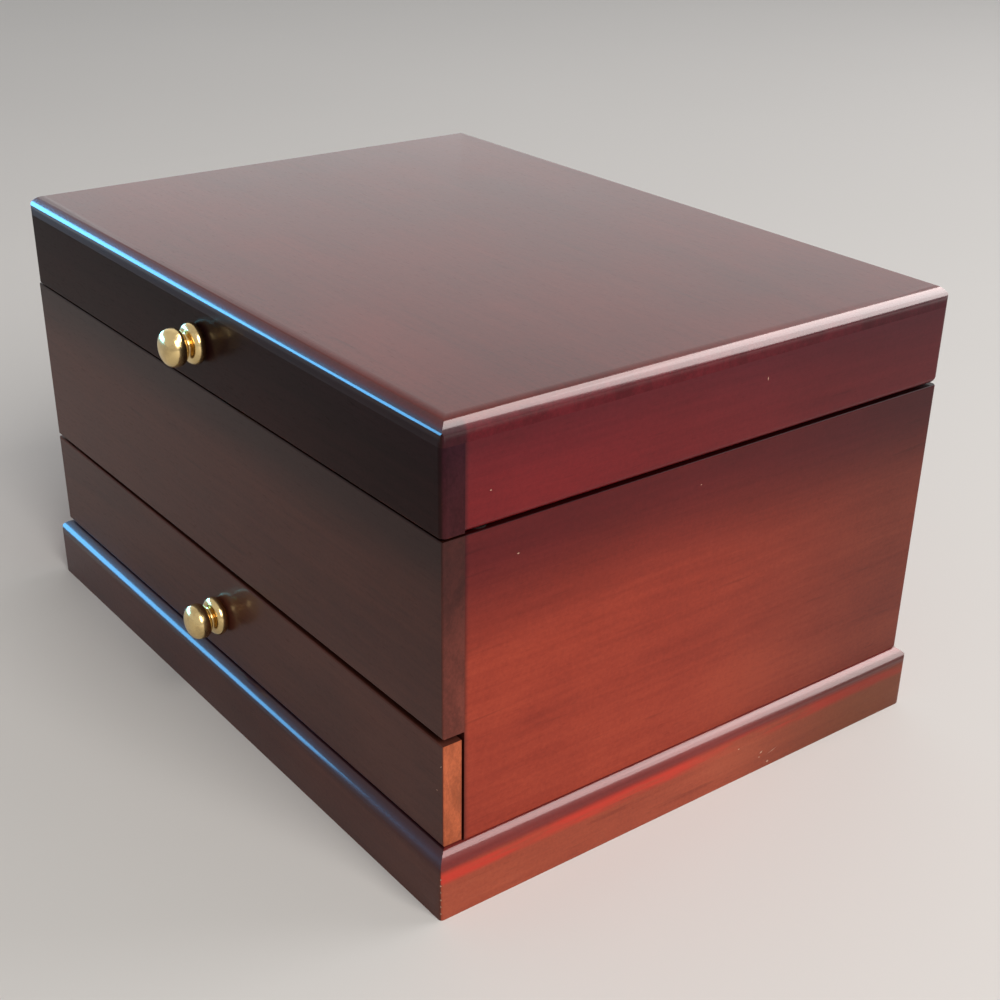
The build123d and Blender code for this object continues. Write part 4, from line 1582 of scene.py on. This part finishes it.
# ---------------------------------------- studio
@dataclass(frozen=True)
class Lamp:
    """A soft rectangular lamp.

    One that is for reflections only gives no diffuse light, and can be kept to the pieces that show it.
    """

    name: str
    place: Point
    aim: Point
    size: tuple[float, float]
    watts: float
    colour: Colour = (1.0, 1.0, 1.0)
    shown_on: tuple[str, ...] = ()

    def hang(self) -> None:
        """Makes the lamp."""
        data = bpy.data.lights.new(self.name, "AREA")
        data.shape = "RECTANGLE"
        data.size, data.size_y = self.size
        data.energy = self.watts
        data.color = self.colour
        lamp = bpy.data.objects.new(self.name, data)
        lamp.location = self.place
        lamp.rotation_euler = (Vector(self.aim) - Vector(self.place)).to_track_quat("-Z", "Y").to_euler()
        bpy.context.scene.collection.objects.link(lamp)
        lamp.visible_camera = False
        if self.shown_on:
            lamp.visible_diffuse = False
            shown = bpy.data.collections.new(f"{self.name}_reflections")
            bpy.context.scene.collection.children.link(shown)
            for name in self.shown_on:
                shown.objects.link(bpy.data.objects[name])
            lamp.light_linking.receiver_collection = shown


@dataclass(frozen=True)
class Glow:
    """A broad bright patch of the surroundings."""

    towards: Point
    strength: float
    inner: float
    outer: float

    def at(self, bench: Bench, direction: Sock) -> Sock:
        """Brightness of the patch.

        Args:
            bench: The world's bench.
            direction: Where a ray goes.

        Returns:
            The brightness in that direction.
        """
        middle = Vector(self.towards).normalized()
        inputs = {0: direction, 1: middle}
        near_middle = bench.node("ShaderNodeVectorMath", {"operation": "DOT_PRODUCT"}, inputs, "Value")
        limits = [math.cos(math.radians(angle)) for angle in (self.outer, self.inner)]
        return near_middle.step(*limits) * self.strength


GLEAMING = ("lid_top_board", "lid_knob_turned", "drawer_knob_turned")
FRONT_ROUNDS = (*GLEAMING, "plinth_front_moulding")
RIGHT_ROUNDS = (*GLEAMING, "plinth_right_moulding")


@dataclass
class Studio:
    """A pale floor, soft lamps and the camera at the photograph's viewing angle."""

    focal_pixels: float = 1553.36
    camera_place: Point = (0.36984, -0.26326, 0.26514)
    camera_turn: Point = (1.07429, -0.01370, 0.92673)
    camera_rise: float = 0.08
    sensor: float = 36.0
    picture: float = 1000.0
    floor_half: float = 3.2
    ambient: float = 0.30
    backdrop: Colour = (0.80, 0.79, 0.775)
    floor_tones: tuple[Colour, Colour] = ((0.66, 0.65, 0.635), (0.69, 0.68, 0.665))
    lamps: tuple[Lamp, ...] = (
        Lamp("key", (1.5, -0.1, 1.25), (0, 0, 0.05), (1.1, 1.1), 33, (1.0, 0.95, 0.90)),
        Lamp("back_light", (0.4, 1.6, 1.2), (0, 0, 0.1), (1.4, 1.0), 14, (1.0, 0.97, 0.97)),
        Lamp(
            "cool_card",
            (-1.36, -0.62, 0.25),
            (0, -0.08, 0.12),
            (1.3, 0.38),
            29,
            (0.12, 0.52, 1.0),
            FRONT_ROUNDS,
        ),
        Lamp(
            "window_card",
            (0.75, 1.35, 1.3),
            (0.1, 0, 0.12),
            (1.5, 1.9),
            100,
            (1.0, 0.91, 0.89),
            RIGHT_ROUNDS,
        ),
    )
    glow: Glow = Glow((-0.70, 0.66, 0.27), 0.45, 18, 55)

    def build(self) -> None:
        """Sets up the floor, the lamps, the world and the camera."""
        for lamp in self.lamps:
            lamp.hang()
        self.floor()
        self.world()
        self.camera()

    def floor(self) -> None:
        """The pale floor."""
        floor = Workpiece("floor", bpy.ops.mesh.primitive_plane_add, size=2 * self.floor_half)
        bench = Bench.material("floor_paint")
        mottle = bench.noise(bench.place(), 3, 2, 0.5)
        colour = bench.mix(mottle, *self.floor_tones)
        floor.object.data.materials.append(bench.finish({"Base Color": colour, "Roughness": 0.7}))

    def world(self) -> None:
        """Dim surroundings with one broad glow; the camera and glossy surfaces see a plain pale backdrop."""
        world = bpy.data.worlds.new("surroundings")
        bpy.context.scene.world = world
        bench = Bench(world)
        direction = bench.node("ShaderNodeTexCoord", out="Generated")
        mirrored = bench.node("ShaderNodeLightPath", out="Is Glossy Ray").most(
            bench.node("ShaderNodeLightPath", out="Is Transmission Ray")
        )
        lift = mirrored * (self.backdrop[1] - self.ambient)
        strength = self.glow.at(bench, direction) + lift + self.ambient
        light = bench.node("ShaderNodeBackground", None, {"Strength": strength})
        seen = bench.node("ShaderNodeBackground", None, {"Color": (*self.backdrop, 1.0), "Strength": 1.0})
        camera_ray = bench.node("ShaderNodeLightPath", out="Is Camera Ray")
        mixed = bench.node("ShaderNodeMixShader", None, {0: camera_ray, 1: light, 2: seen})
        bench.node("ShaderNodeOutputWorld", None, {"Surface": mixed})

    def camera(self) -> None:
        """The camera, solved from the box's own edges in the photograph."""
        data = bpy.data.cameras.new("camera")
        data.sensor_width = self.sensor
        data.lens = self.sensor * self.focal_pixels / self.picture
        data.shift_y = self.camera_rise
        data.clip_start = 0.01
        camera = bpy.data.objects.new("camera", data)
        camera.location = self.camera_place
        camera.rotation_euler = self.camera_turn
        bpy.context.scene.collection.objects.link(camera)
        bpy.context.scene.camera = camera
        bpy.context.scene.view_settings.view_transform = "Standard"


def main() -> None:
    """Builds the looks in order, from the floor up."""
    logging.basicConfig(level=logging.INFO, format="%(message)s")
    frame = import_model()
    assemblies: list[Assembly] = [
        Plinth(frame),
        Case(frame),
        FeltParts(frame),
        Compartment(frame),
        Hinges(frame),
        Drawer(frame),
        Knob(frame, DRAWER, "drawer_knob", "drawer_knob_screw"),
        Lid(frame),
        Knob(frame, LID, "lid_knob", "lid_knob_screw"),
    ]
    for assembly in assemblies:
        LOG.info("== %s", type(assembly).__name__)
        assembly.build()
    Studio().build()


if __name__ == "__main__":
    main()
